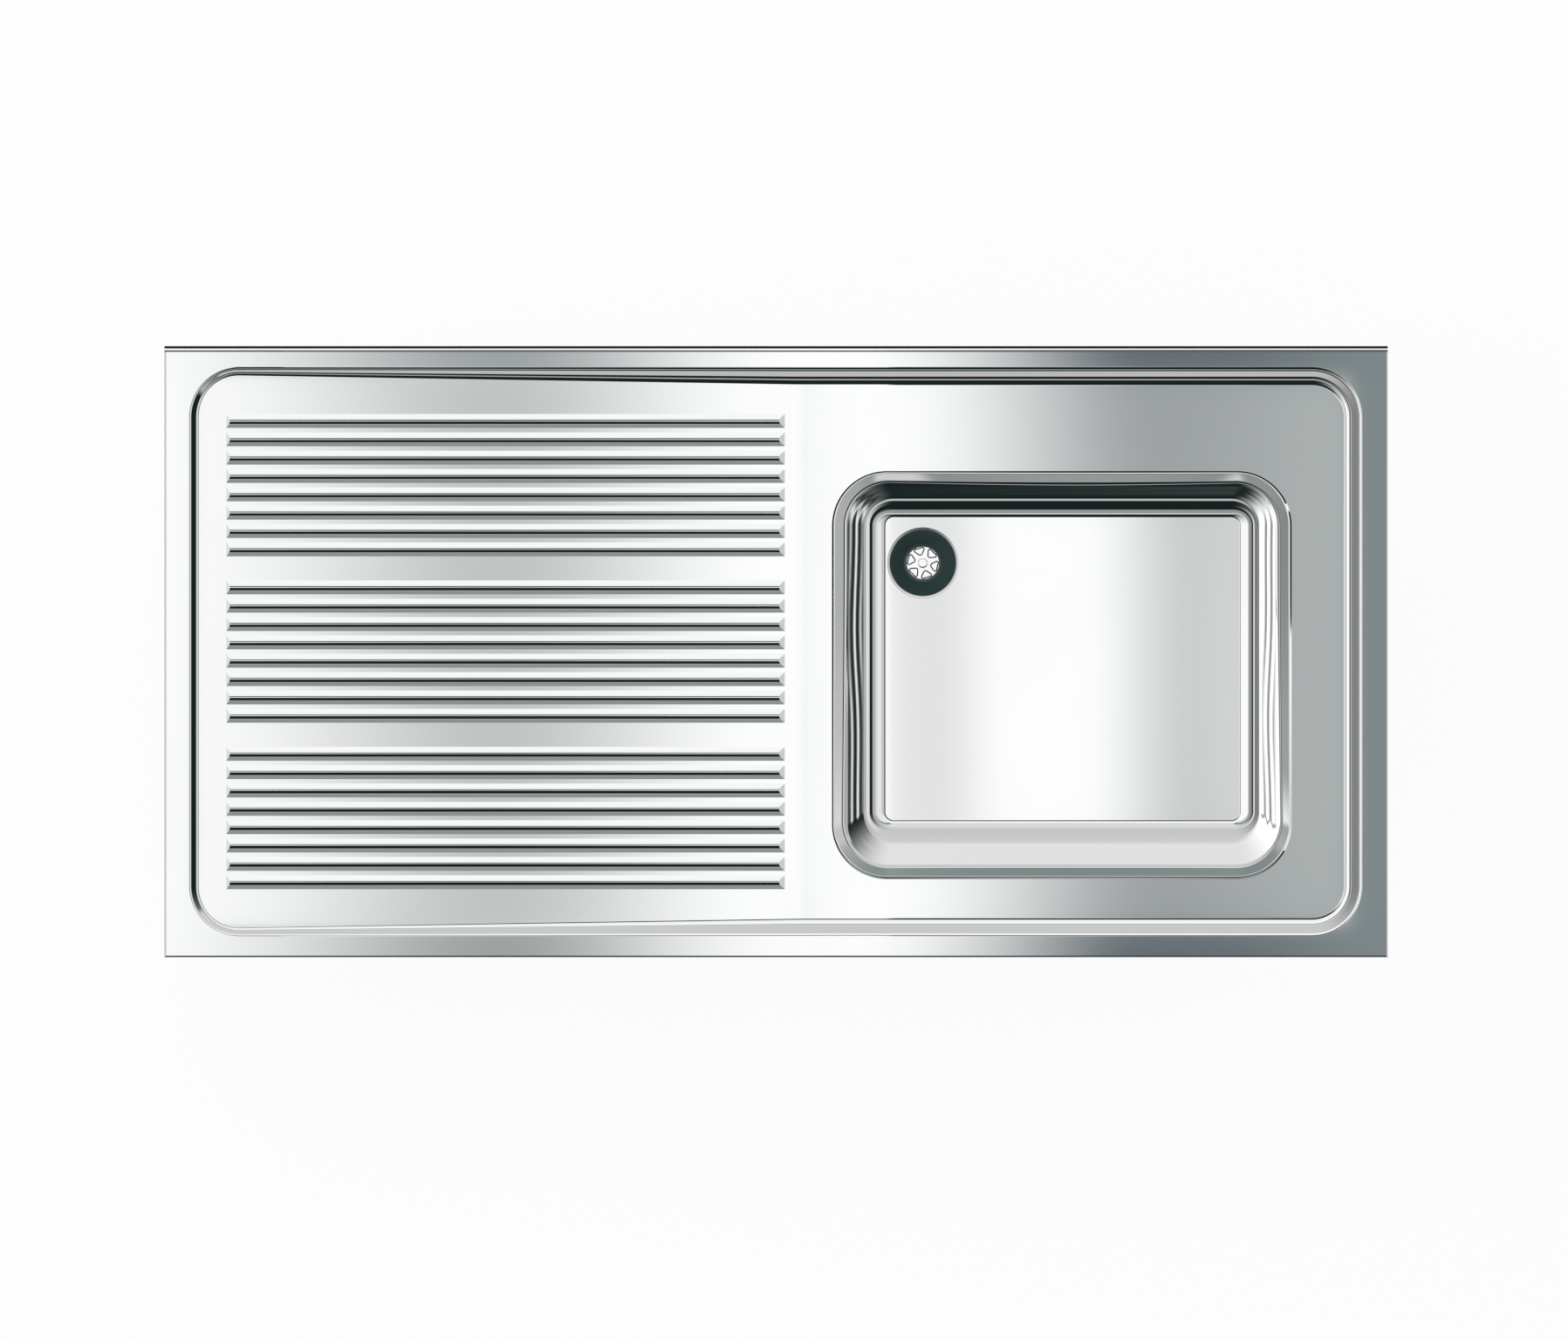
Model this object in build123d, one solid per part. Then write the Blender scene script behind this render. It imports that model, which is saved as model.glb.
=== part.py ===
from build123d import *
import math
import os

# Commercial sit-on sink top: ribbed drainer on the left, one deep bowl on the right, strainer waste in the
# bowl's rear left corner, and the rails, stiffeners, pads, earth terminal and turn clamps under it.
# Millimetres. Origin at the middle of the plan on the seat plane, +X right, +Y to the back, +Z up.

# Top sheet
TOP_LENGTH = 1400.0
TOP_DEPTH = 700.0
APRON_HEIGHT = 40.0
SHEET = 1.2
EDGE_BEND = 2.0
SEAT_LIP = 15.0
UPSTAND_THICK = 7.0
UPSTAND_HEIGHT = 20.0

# Recess in the top sheet
RIM_LEFT = 28.0
RIM_RIGHT = 29.0
RIM_FRONT = 23.0
RIM_REAR = 22.0
RECESS_CORNER = 58.0
RECESS_BEND = 9.0
RECESS_WALL_ANGLE = 45.0
DROP_AT_LEFT = 8.0
DROP_AT_BOWL = 20.0
FLOOR_BLEND = 900.0
FLOOR_BREAK_GAP = 14.0

# Drainer ridges
RIB_EDGE_LEFT = 71.0
RIB_EDGE_BACK = 86.0
RIB_BOWL_GAP = 70.0
RIB_GROUPS = 3
RIB_BAND = 43.5
RIB_PITCH = 21.0
RIB_PITCH_SLACK = 0.01
RIB_WIDTH = 17.0
RIB_RISE = 5.0
RIB_CREST = 9.0
RIB_HIP = 5.0
RIB_ROOT = 1.0

# Bowl
BOWL_LENGTH = 494.0
BOWL_DEPTH = 250.0
BOWL_EDGE_RIGHT = 126.0
BOWL_EDGE_REAR = 160.0
BOWL_EDGE_FRONT = 105.0
BOWL_CORNER = 46.0
BOWL_ROLL = 17.5
BOWL_COLLAR = 5.0
FLOOR_CORNER = 33.0
FLOOR_BEND = 25.0
FLOOR_BEND_MARGIN = 1.0
RUN_LEFT = 22.5
RUN_RIGHT = 21.0
RUN_REAR = 12.7
RUN_FRONT = 30.0

# Waste
WASTE_FROM_LEFT = 88.0
WASTE_FROM_REAR = 88.5
FLANGE_RADIUS = 38.0
FLANGE_THICK = 3.5
FLANGE_BEVEL = 1.5
FLANGE_SEAL_THICK = 1.5
DISH_CLEARANCE = 1.5
DISH_DRAFT = 1.5
BOWL_HOLE_RADIUS = 26.0
TAIL_RADIUS = 23.9
TAIL_LENGTH = 60.0
RELIEF_GAP = 1.0
RELIEF_WIDTH = 2.5
RELIEF_DEPTH = 1.2
FUNNEL_RADIUS = 21.5
FUNNEL_DEPTH = 6.0
STRAINER_RADIUS = 18.6
STRAINER_CLEARANCE = 0.3
STRAINER_THICK = 1.5
STRAINER_SINK = 1.5
STRAINER_TURN = 15.6
LEDGE_WIDTH = 1.5
SEAT_DEPTH = 11.0
HUB_RADIUS = 9.0
PETAL_COUNT = 6
PETAL_INNER = 11.9
PETAL_INNER_RADIUS = 2.2
PETAL_OUTER = 15.4
PETAL_HALF_SPREAD = 4.1
PETAL_OUTER_RADIUS = 1.4
SCREW_RADIUS = 2.95
SCREW_HEAD_RADIUS = 6.0
SCREW_HEAD_HEIGHT = 3.0
SCREW_HEAD_ROUND = 1.8
SCREW_SLOT = 1.2
SCREW_LENGTH = 22.0
SCREW_CLEARANCE = 0.05
INSERT_WALL = 1.6
BRIDGE_GAP = 3.0
BRIDGE_HEIGHT = 14.0
BRIDGE_ARM = 3.0
BRIDGE_WALL = 2.0
BRIDGE_ARMS = 3
SEAL_INNER_CLEARANCE = 0.3
SEAL_MARGIN = 2.0
UNDER_SEAL_THICK = 3.0
SLIP_WASHER_THICK = 1.5
BACKNUT_THICK = 12.0
BACKNUT_FLAT = 30.0
BACKNUT_CHAMFER = 1.5
THREAD_CLEARANCE = 0.1

# Rails, stiffeners and pads
RAIL_SHEET = 1.5
RAIL_BEND = 2.0
RAIL_FOOT = 60.0
RAIL_END_GAP = 2.5
RAIL_BEND_GAP = 4.0
STIFFENER_COUNT = 3
STIFFENER_CROWN = 18.0
STIFFENER_FLANGE = 9.0
STIFFENER_HEIGHT = 14.0
STIFFENER_SHEET = 1.2
STIFFENER_EDGE = 70.0
PAD_THICK = 3.0
PAD_GAP = 8.0
PAD_EDGE = 80.0
BOWL_PAD_TOP = 50.0
BOWL_PAD_BOTTOM = 60.0
BOWL_PAD_SIDE = 90.0

# Earth terminal
EARTH_FROM_LEFT = 60.0
EARTH_STUD_RADIUS = 3.0
EARTH_STUD_LENGTH = 26.0
STUD_CHAMFER = 0.8
EARTH_WASHER_RADIUS = 6.0
EARTH_WASHER_THICK = 1.6
EARTH_HOLE_CLEARANCE = 0.2
EARTH_TAG_THICK = 1.5
EARTH_TAG_WIDTH = 14.0
EARTH_TAG_LENGTH = 40.0
EARTH_TAG_HOLE = 2.6
EARTH_NUT_THICK = 5.0
EARTH_NUT_FLAT = 5.0

# Turn clamps
CLAMP_FROM_END = 150.0
CLAMP_FROM_EDGE = 50.0
CLAMP_GRIP = 20.0
CLAMP_STUD_RADIUS = 3.0
CLAMP_STUD_TAIL = 4.0
ARM_REACH = 44.0
ARM_WIDTH = 20.0
ARM_THICK = 3.0
ARM_JAW = 10.0
ARM_JAW_RISE = 7.0
ARM_JAW_CHAMFER = 0.8
ARM_HOLE_CLEARANCE = 0.3
CLAMP_GAP = 0.3
CLAMP_WASHER_RADIUS = 8.0
CLAMP_WASHER_THICK = 1.2
NUT_CLEARANCE = 0.05
NUT_BOSS_RADIUS = 6.0
NUT_BOSS_HEIGHT = 8.0
NUT_WING_REACH = 12.0
NUT_WING_DROP = 2.0
NUT_WING_RADIUS = 3.6
NUT_WING_ROOT = 4.0
NUT_WING_ROOT_RADIUS = 2.5
NUT_WING_THICK = 2.5

# Cutting tools reach this far past what they cut
OVERCUT = 5.0
# An edge counts as lying in a box when it is within this of it
PICK = 0.2

# Heights
rim_z = APRON_HEIGHT
deck_z = rim_z - DROP_AT_BOWL
floor_z = deck_z - BOWL_DEPTH
weld_z = deck_z - BOWL_ROLL - BOWL_COLLAR
dish_depth = FLANGE_SEAL_THICK + FLANGE_THICK
dish_z = floor_z - dish_depth
floor_bend = min(FLOOR_BEND, FLOOR_CORNER - FLOOR_BEND_MARGIN)

# Plan lines of the top, the bowl mouth and the bowl floor
left_x = -TOP_LENGTH / 2
right_x = TOP_LENGTH / 2
front_y = -TOP_DEPTH / 2
rear_y = TOP_DEPTH / 2
mouth_right = right_x - BOWL_EDGE_RIGHT
mouth_left = mouth_right - BOWL_LENGTH
mouth_rear = rear_y - BOWL_EDGE_REAR
mouth_front = front_y + BOWL_EDGE_FRONT
waste_x = mouth_left + WASTE_FROM_LEFT
waste_y = mouth_rear - WASTE_FROM_REAR

# Recess wall: sharp outline before its bends, and its slope
wall_angle = math.radians(RECESS_WALL_ANGLE)
bend_setback = RECESS_BEND * math.tan(wall_angle / 2)
recess_left = left_x + RIM_LEFT + bend_setback
recess_right = right_x - RIM_RIGHT - bend_setback
recess_front = front_y + RIM_FRONT + bend_setback
recess_rear = rear_y - RIM_REAR - bend_setback
recess_corner = RECESS_CORNER - bend_setback
recess_run = DROP_AT_BOWL / math.tan(wall_angle)

# Drainer field
rib_start = left_x + RIB_EDGE_LEFT
rib_end = mouth_left - RIB_BOWL_GAP
break_x = rib_end + FLOOR_BREAK_GAP
drainer_slope = math.atan2(DROP_AT_BOWL - DROP_AT_LEFT, break_x - recess_left)
rib_field = TOP_DEPTH - 2 * RIB_EDGE_BACK
rib_band_span = (rib_field - (RIB_GROUPS - 1) * RIB_BAND) / RIB_GROUPS
ribs_per_group = int(rib_band_span / RIB_PITCH + RIB_PITCH_SLACK) + 1


def drainer_z(x):
    """Height of the drainer's sloping top face at x."""
    return rim_z - DROP_AT_LEFT - (x - recess_left) * math.tan(drainer_slope)


def block(low, high):
    """Box between two corners."""
    size = [b - a for a, b in zip(low, high)]
    return Pos(*low) * Box(*size, align=(Align.MIN, Align.MIN, Align.MIN))


def rounded_section(left, right, front, rear, corner, z):
    """Rounded rectangle between four plan lines at height z."""
    middle = Pos((left + right) / 2, (front + rear) / 2, z)
    return middle * RectangleRounded(right - left, rear - front, corner)


def edges_within(shape, low, high):
    """Edges of a shape that lie wholly inside a box."""
    found = []
    for edge in shape.edges():
        box = edge.bounding_box()
        above = all(a >= b - PICK for a, b in zip(box.min, low))
        below = all(a <= b + PICK for a, b in zip(box.max, high))
        if above and below:
            found.append(edge)
    return found


def ring(outer, inner, low_z, high_z):
    """Flat ring round the Z axis."""
    disc = Circle(outer) - Circle(inner)
    return Pos(0, 0, low_z) * extrude(disc, amount=high_z - low_z)


def rod(radius, low_z, high_z):
    """Plain cylinder round the Z axis."""
    return Pos(0, 0, low_z) * extrude(Circle(radius), amount=high_z - low_z)


def hexagon_ring(flat, inner, low_z, high_z):
    """Hexagon nut blank round the Z axis, flat being half its width over flats."""
    face = RegularPolygon(flat, 6, major_radius=False) - Circle(inner)
    return Pos(0, 0, low_z) * extrude(face, amount=high_z - low_z)


def turned(points):
    """Solid turned round the Z axis from (radius, z) points."""
    face = make_face(Polyline(*points, close=True))
    return revolve(Plane.XZ * face, axis=Axis.Z)


# Recess

def recess_section(z, offset):
    """Recess wall outline at height z, its wall moved outwards by offset."""
    inset = (rim_z - z) / math.tan(wall_angle) - offset / math.sin(wall_angle)
    return rounded_section(
        recess_left + inset,
        recess_right - inset,
        recess_front + inset,
        recess_rear - inset,
        recess_corner - inset,
        z,
    )


def above_floor(offset):
    """Everything above the recess floor lowered by offset: slope, blend and flat."""
    start = (left_x, drainer_z(left_x) - offset)
    corner = (break_x, deck_z - offset)
    end = (right_x, deck_z - offset)
    ceiling = rim_z + UPSTAND_HEIGHT
    floor_line = FilletPolyline(start, corner, end, radius=FLOOR_BLEND)
    rest = Polyline(end, (right_x, ceiling), (left_x, ceiling), start)
    face = make_face([*floor_line.edges(), *rest.edges()])
    return extrude(Plane.XZ * face, amount=TOP_DEPTH, both=True)


def recess_void(offset):
    """Space of the recess, its skin moved outwards by offset, with its floor bends."""
    high = recess_section(rim_z + OVERCUT, offset)
    low = recess_section(deck_z - offset - OVERCUT, offset)
    void = loft([low, high], ruled=True) & above_floor(offset)
    bend_edges = []
    for edge in void.edges():
        box = edge.bounding_box()
        on_floor = box.max.Z < rim_z - DROP_AT_LEFT
        inland = recess_left + RECESS_CORNER < box.min.X < recess_right - RECESS_CORNER
        crease = inland and box.size.X < PICK
        if on_floor and not crease:
            bend_edges.append(edge)
    return fillet(bend_edges, RECESS_BEND + offset)


def rib_bar():
    """One ridge along +X from the origin on a flat floor, with hipped ends."""
    length = (rib_end - rib_start) / math.cos(drainer_slope)
    half = RIB_WIDTH / 2
    outline = [(-half, -RIB_ROOT), (half, -RIB_ROOT), (half, 0), (0, RIB_RISE), (-half, 0)]
    section = make_face(Polyline(*outline, close=True))
    crest = section.vertices().sort_by(Axis.Y)[-1]
    section = fillet(crest, RIB_CREST)
    side = make_face(
        Polyline(
            (0, -RIB_ROOT),
            (length, -RIB_ROOT),
            (length, 0),
            (length - RIB_HIP, RIB_RISE),
            (RIB_HIP, RIB_RISE),
            (0, 0),
            close=True,
        )
    )
    return extrude(Plane.YZ * section, amount=length) & extrude(Plane.XZ * side, amount=RIB_WIDTH, both=True)


def rib_rows():
    """Y of every ridge: groups centred in equal bands, rows at the pitch in each group."""
    first = rear_y - RIB_EDGE_BACK
    group_span = (ribs_per_group - 1) * RIB_PITCH
    rows = []
    for group in range(RIB_GROUPS):
        band_rear = first - group * (rib_band_span + RIB_BAND)
        group_rear = band_rear - (rib_band_span - group_span) / 2
        rows += [group_rear - row * RIB_PITCH for row in range(ribs_per_group)]
    return rows


def ribs(offset):
    """All ridges on the sloping floor, lowered by offset."""
    bar = rib_bar()
    along = (math.cos(drainer_slope), 0, -math.sin(drainer_slope))
    up = (math.sin(drainer_slope), 0, math.cos(drainer_slope))
    start_z = drainer_z(rib_start) - offset
    return [Plane(origin=(rib_start, y, start_z), x_dir=along, z_dir=up) * bar for y in rib_rows()]


# Bowl

def bowl_section(z, offset):
    """Bowl wall outline at height z, moved outwards by offset."""
    share = (deck_z - z) / BOWL_DEPTH
    return rounded_section(
        mouth_left + RUN_LEFT * share - offset,
        mouth_right - RUN_RIGHT * share + offset,
        mouth_front + RUN_FRONT * share - offset,
        mouth_rear - RUN_REAR * share + offset,
        BOWL_CORNER + (FLOOR_CORNER - BOWL_CORNER) * share + offset,
        z,
    )


def bowl_mass(offset):
    """Space of the bowl with its floor bend and waste dish, its skin moved outwards by offset."""
    low_z = floor_z - offset
    mass = loft([bowl_section(low_z, offset), bowl_section(deck_z + OVERCUT, offset)], ruled=True)
    reach = SHEET + PAD_THICK
    floor_edges = edges_within(
        mass,
        (mouth_left - reach, mouth_front - reach, low_z),
        (mouth_right + reach, mouth_rear + reach, low_z),
    )
    mass = fillet(floor_edges, floor_bend + offset)
    dish_low = FLANGE_RADIUS + DISH_CLEARANCE + offset
    dish_high = dish_low + DISH_DRAFT
    dish = turned([(0, dish_z - offset), (dish_low, dish_z - offset), (dish_high, low_z), (0, low_z)])
    return mass + Pos(waste_x, waste_y, 0) * dish


def bowl_shell():
    """Drawn bowl below the weld, with its waste hole."""
    shell = bowl_mass(SHEET) - bowl_mass(0)
    shell -= block((left_x, front_y, weld_z), (right_x, rear_y, rim_z))
    hole = rod(BOWL_HOLE_RADIUS, dish_z - OVERCUT, floor_z)
    return shell - Pos(waste_x, waste_y, 0) * hole


# Deck

def deck_mass(offset):
    """Solid under the deck's top face, its skin moved inwards by offset, down past the weld."""
    low = min(0, weld_z) - OVERCUT - offset
    mass = block(
        (left_x + offset, front_y + offset, low),
        (right_x - offset, rear_y - offset, rim_z - offset),
    )
    mass += block(
        (left_x + offset, rear_y - UPSTAND_THICK + offset, low),
        (right_x - offset, rear_y - offset, rim_z + UPSTAND_HEIGHT - offset),
    )
    rim_edges = [
        ((left_x, front_y), (right_x, front_y + SHEET)),
        ((left_x, front_y), (left_x + SHEET, rear_y)),
        ((right_x - SHEET, front_y), (right_x, rear_y)),
    ]
    bends = []
    for near, far in rim_edges:
        bends += edges_within(mass, (*near, rim_z - offset), (*far, rim_z - offset))
    top = rim_z + UPSTAND_HEIGHT - offset
    for edge in edges_within(mass, (left_x, front_y, top), (right_x, rear_y, top)):
        if edge.bounding_box().size.X > TOP_LENGTH / 2:
            bends.append(edge)
    mass = fillet(bends, EDGE_BEND - offset)
    mass -= recess_void(offset)
    recess_edges = edges_within(
        mass,
        (recess_left - SHEET, recess_front - SHEET, rim_z - offset),
        (recess_right + SHEET, recess_rear + SHEET, rim_z - offset),
    )
    mass = fillet(recess_edges, RECESS_BEND - offset)
    opening = loft([bowl_section(floor_z, offset), bowl_section(deck_z + OVERCUT, offset)], ruled=True)
    mass -= opening
    mouth_edges = edges_within(
        mass,
        (mouth_left - SHEET, mouth_front - SHEET, deck_z - offset),
        (mouth_right + SHEET, mouth_rear + SHEET, deck_z - offset),
    )
    mass = fillet(mouth_edges, BOWL_ROLL - offset)
    return mass + ribs(offset)


def deck_sheet():
    """Pressed top: aprons down to the seat, seat lip turned in, bowl collar down to the weld."""
    sheet = deck_mass(0) - deck_mass(SHEET)
    far = TOP_LENGTH
    bowl_low = (mouth_left - BOWL_ROLL, mouth_front - BOWL_ROLL)
    bowl_high = (mouth_right + BOWL_ROLL, mouth_rear + BOWL_ROLL)
    under_collar = block((*bowl_low, -far), (*bowl_high, weld_z))
    collar_zone = block((*bowl_low, -far), (*bowl_high, 0))
    under_seat = block((-far, -far, -far), (far, far, 0)) - collar_zone
    lip = block((left_x, front_y, 0), (right_x, rear_y, SHEET))
    lip -= block(
        (left_x + SEAT_LIP, front_y + SEAT_LIP, -OVERCUT),
        (right_x - SEAT_LIP, rear_y - SEAT_LIP, OVERCUT),
    )
    return sheet - under_collar - under_seat + lip


# Rails and stiffeners

def rail_section(top_flange, foot):
    """Channel section: web at local x 0, top flange and wider foot towards +x."""
    height = rim_z - 2 * SHEET
    outer = make_face(
        Polyline((0, 0), (foot, 0), (foot, RAIL_SHEET), (RAIL_SHEET, RAIL_SHEET),
                 (RAIL_SHEET, height - RAIL_SHEET), (top_flange, height - RAIL_SHEET),
                 (top_flange, height), (0, height), close=True)
    )
    corners = [v for v in outer.vertices() if v.X < RAIL_SHEET / 2]
    return fillet(corners, RAIL_BEND)


def rail(origin, inward, length, rim):
    """Rail along one side of the top, resting on the seat lip and bonded under the rim."""
    across = Vector(*inward)
    plane = Plane(origin=origin, x_dir=across, z_dir=across.cross(Vector(0, 0, 1)))
    section = rail_section(rim - SHEET - RAIL_BEND_GAP, RAIL_FOOT - SHEET)
    return extrude(plane * section, amount=length)


def rails():
    """The four rails; the side rails butt against the front and rear rails' feet."""
    end_inset = SHEET + RAIL_END_GAP
    long_run = TOP_LENGTH - 2 * end_inset
    short_run = TOP_DEPTH - 2 * RAIL_FOOT
    return {
        "front_rail": rail((left_x + end_inset, front_y + SHEET, SHEET), (0, 1, 0), long_run, RIM_FRONT),
        "rear_rail": rail((right_x - end_inset, rear_y - SHEET, SHEET), (0, -1, 0), long_run, RIM_REAR),
        "left_rail": rail((left_x + SHEET, short_run / 2, SHEET), (1, 0, 0), short_run, RIM_LEFT),
        "right_rail": rail((right_x - SHEET, -short_run / 2, SHEET), (-1, 0, 0), short_run, RIM_RIGHT),
    }


def hat_section():
    """Hat channel section hanging below local y 0, its flanges against what it stiffens."""
    half = STIFFENER_CROWN / 2
    wall = STIFFENER_SHEET
    right_side = [
        (half - wall, wall - STIFFENER_HEIGHT),
        (half - wall, 0),
        (half + STIFFENER_FLANGE, 0),
        (half + STIFFENER_FLANGE, -wall),
        (half, -wall),
        (half, -STIFFENER_HEIGHT),
    ]
    left_side = [(-x, y) for x, y in reversed(right_side)]
    return make_face(Polyline(*right_side, *left_side, close=True))


def hat_channel(origin, across, along, length):
    """Hat channel centred on origin, with across and along as its local directions."""
    start = Vector(*origin) - Vector(*along) * (length / 2)
    plane = Plane(origin=start, x_dir=across, z_dir=along)
    return extrude(plane * hat_section(), amount=length)


def stiffener_places():
    """X of each drainer stiffener, evenly spread over the ridges."""
    step = (rib_end - rib_start) / (STIFFENER_COUNT + 1)
    return [rib_start + step * (index + 1) for index in range(STIFFENER_COUNT)]


def stiffeners():
    """Hat channels across the drainer's underside, and two beside the bowl."""
    made = {}
    slope_across = (-math.cos(drainer_slope), 0, math.sin(drainer_slope))
    for index, x in enumerate(stiffener_places()):
        origin = (x, 0, drainer_z(x) - SHEET)
        length = TOP_DEPTH - 2 * STIFFENER_EDGE
        made[f"drainer_stiffener_{index + 1}"] = hat_channel(origin, slope_across, (0, 1, 0), length)
    under = deck_z - SHEET
    rear_gap = (mouth_rear + BOWL_ROLL + recess_rear - recess_run) / 2
    right_gap = (mouth_right + BOWL_ROLL + recess_right - recess_run) / 2
    rear_origin = ((mouth_left + mouth_right) / 2, rear_gap, under)
    right_origin = (right_gap, (mouth_front + mouth_rear) / 2, under)
    made["bowl_stiffener_rear"] = hat_channel(rear_origin, (0, 1, 0), (1, 0, 0), mouth_right - mouth_left)
    made["bowl_stiffener_right"] = hat_channel(right_origin, (-1, 0, 0), (0, 1, 0), mouth_rear - mouth_front)
    return made


# Sound deadening pads

def drainer_pads():
    """Pads bonded to the drainer's underside between the stiffeners."""
    layer = above_floor(SHEET + PAD_THICK) - above_floor(SHEET)
    half_hat = STIFFENER_CROWN / 2 + STIFFENER_FLANGE + PAD_GAP
    places = stiffener_places()
    starts = [rib_start] + [x + half_hat for x in places]
    ends = [x - half_hat for x in places] + [rib_end]
    made = {}
    for index, (start, end) in enumerate(zip(starts, ends)):
        window = block((start, front_y + PAD_EDGE, 0), (end, rear_y - PAD_EDGE, rim_z))
        made[f"drainer_pad_{index + 1}"] = layer & window
    return made


def bowl_pads():
    """Pads bonded to the bowl's floor and its four walls."""
    layer = bowl_mass(SHEET + PAD_THICK) - bowl_mass(SHEET)
    far = TOP_LENGTH
    low = floor_z + BOWL_PAD_BOTTOM
    high = weld_z - BOWL_PAD_TOP
    near_x = mouth_left + BOWL_PAD_SIDE
    far_x = mouth_right - BOWL_PAD_SIDE
    near_y = mouth_front + BOWL_PAD_SIDE
    far_y = mouth_rear - BOWL_PAD_SIDE
    middle_x = (mouth_left + mouth_right) / 2
    middle_y = (mouth_front + mouth_rear) / 2
    dish_edge = FLANGE_RADIUS + DISH_CLEARANCE + DISH_DRAFT + SHEET + PAD_THICK
    floor_edge = floor_bend + PAD_GAP
    floor_low = (waste_x + dish_edge + PAD_GAP, mouth_front + RUN_FRONT + floor_edge, -far)
    floor_high = (mouth_right - RUN_RIGHT - floor_edge, mouth_rear - RUN_REAR - floor_edge, floor_z)
    windows = {
        "bowl_pad_floor": block(floor_low, floor_high),
        "bowl_pad_front": block((near_x, -far, low), (far_x, middle_y, high)),
        "bowl_pad_rear": block((near_x, middle_y, low), (far_x, far, high)),
        "bowl_pad_left": block((-far, near_y, low), (middle_x, far_y, high)),
        "bowl_pad_right": block((middle_x, near_y, low), (far, far_y, high)),
    }
    return {name: layer & window for name, window in windows.items()}


# Waste

flange_z = floor_z
flange_low = dish_z + FLANGE_SEAL_THICK
tail_z = flange_low - TAIL_LENGTH
seat_radius = STRAINER_RADIUS + STRAINER_CLEARANCE
bore_radius = seat_radius - LEDGE_WIDTH
ledge_z = flange_z - SEAT_DEPTH
hub_top = ledge_z - STRAINER_SINK + STRAINER_THICK
bridge_top = ledge_z - STRAINER_SINK - BRIDGE_GAP
bridge_low = bridge_top - BRIDGE_HEIGHT
insert_radius = SCREW_RADIUS + SCREW_CLEARANCE + INSERT_WALL
under_seal_low = dish_z - SHEET - UNDER_SEAL_THICK
slip_low = under_seal_low - SLIP_WASHER_THICK
backnut_low = slip_low - BACKNUT_THICK
relief_high = backnut_low - RELIEF_GAP
relief_low = relief_high - RELIEF_WIDTH


def waste_body():
    """Flange, funnel, strainer ledge and threaded tail, with the bridge that takes the screw insert.

    A thread relief parts the backnut's stretch of the tail from the outlet's.
    """
    body = turned([
        (FUNNEL_RADIUS, flange_z),
        (FLANGE_RADIUS - FLANGE_BEVEL, flange_z),
        (FLANGE_RADIUS, flange_z - FLANGE_BEVEL),
        (FLANGE_RADIUS, flange_low),
        (TAIL_RADIUS, flange_low),
        (TAIL_RADIUS, relief_high),
        (TAIL_RADIUS - RELIEF_DEPTH, relief_high),
        (TAIL_RADIUS - RELIEF_DEPTH, relief_low),
        (TAIL_RADIUS, relief_low),
        (TAIL_RADIUS, tail_z),
        (bore_radius, tail_z),
        (bore_radius, ledge_z),
        (seat_radius, ledge_z),
        (seat_radius, flange_z - FUNNEL_DEPTH),
    ])
    wall_middle = (bore_radius + TAIL_RADIUS) / 2
    for index in range(BRIDGE_ARMS):
        arm = block((0, -BRIDGE_ARM / 2, bridge_low), (wall_middle, BRIDGE_ARM / 2, bridge_top))
        body += Rot(0, 0, STRAINER_TURN + index * 360 / BRIDGE_ARMS) * arm
    body += ring(insert_radius + BRIDGE_WALL, insert_radius, bridge_low, bridge_top)
    return body - rod(insert_radius, bridge_low - OVERCUT, bridge_top + OVERCUT)


def petal():
    """One strainer opening, on the +X side."""
    inner = Pos(PETAL_INNER, 0) * Circle(PETAL_INNER_RADIUS)
    corners = [Pos(PETAL_OUTER, side * PETAL_HALF_SPREAD) * Circle(PETAL_OUTER_RADIUS) for side in (-1, 1)]
    outline = make_hull([*inner.edges(), *corners[0].edges(), *corners[1].edges()])
    return Pos(0, 0, hub_top - OVERCUT) * extrude(outline, amount=2 * OVERCUT)


def strainer():
    """Dished disc with petal openings and a hole for the screw."""
    hole = SCREW_RADIUS + STRAINER_CLEARANCE
    disc = turned([
        (hole, hub_top - STRAINER_THICK),
        (HUB_RADIUS, hub_top - STRAINER_THICK),
        (bore_radius, ledge_z),
        (STRAINER_RADIUS, ledge_z),
        (STRAINER_RADIUS, ledge_z + STRAINER_THICK),
        (bore_radius, ledge_z + STRAINER_THICK),
        (HUB_RADIUS, hub_top),
        (hole, hub_top),
    ])
    opening = petal()
    for index in range(PETAL_COUNT):
        angle = STRAINER_TURN + (index + 0.5) * 360 / PETAL_COUNT
        disc -= Rot(0, 0, angle) * opening
    return disc


def strainer_screw():
    """Domed slotted screw that holds the strainer down."""
    head_top = hub_top + SCREW_HEAD_HEIGHT
    shank = Pos(0, 0, hub_top) * Cylinder(
        SCREW_RADIUS, SCREW_LENGTH, align=(Align.CENTER, Align.CENTER, Align.MAX)
    )
    head = Pos(0, 0, hub_top) * Cylinder(
        SCREW_HEAD_RADIUS, SCREW_HEAD_HEIGHT, align=(Align.CENTER, Align.CENTER, Align.MIN)
    )
    rim = head.edges().filter_by(GeomType.CIRCLE).sort_by(Axis.Z)[-1]
    head = fillet(rim, SCREW_HEAD_ROUND)
    slot_low = head_top - SCREW_SLOT
    slot = block(
        (-FLANGE_RADIUS, -SCREW_SLOT / 2, slot_low),
        (FLANGE_RADIUS, SCREW_SLOT / 2, head_top + OVERCUT),
    )
    return shank + head - slot


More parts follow.
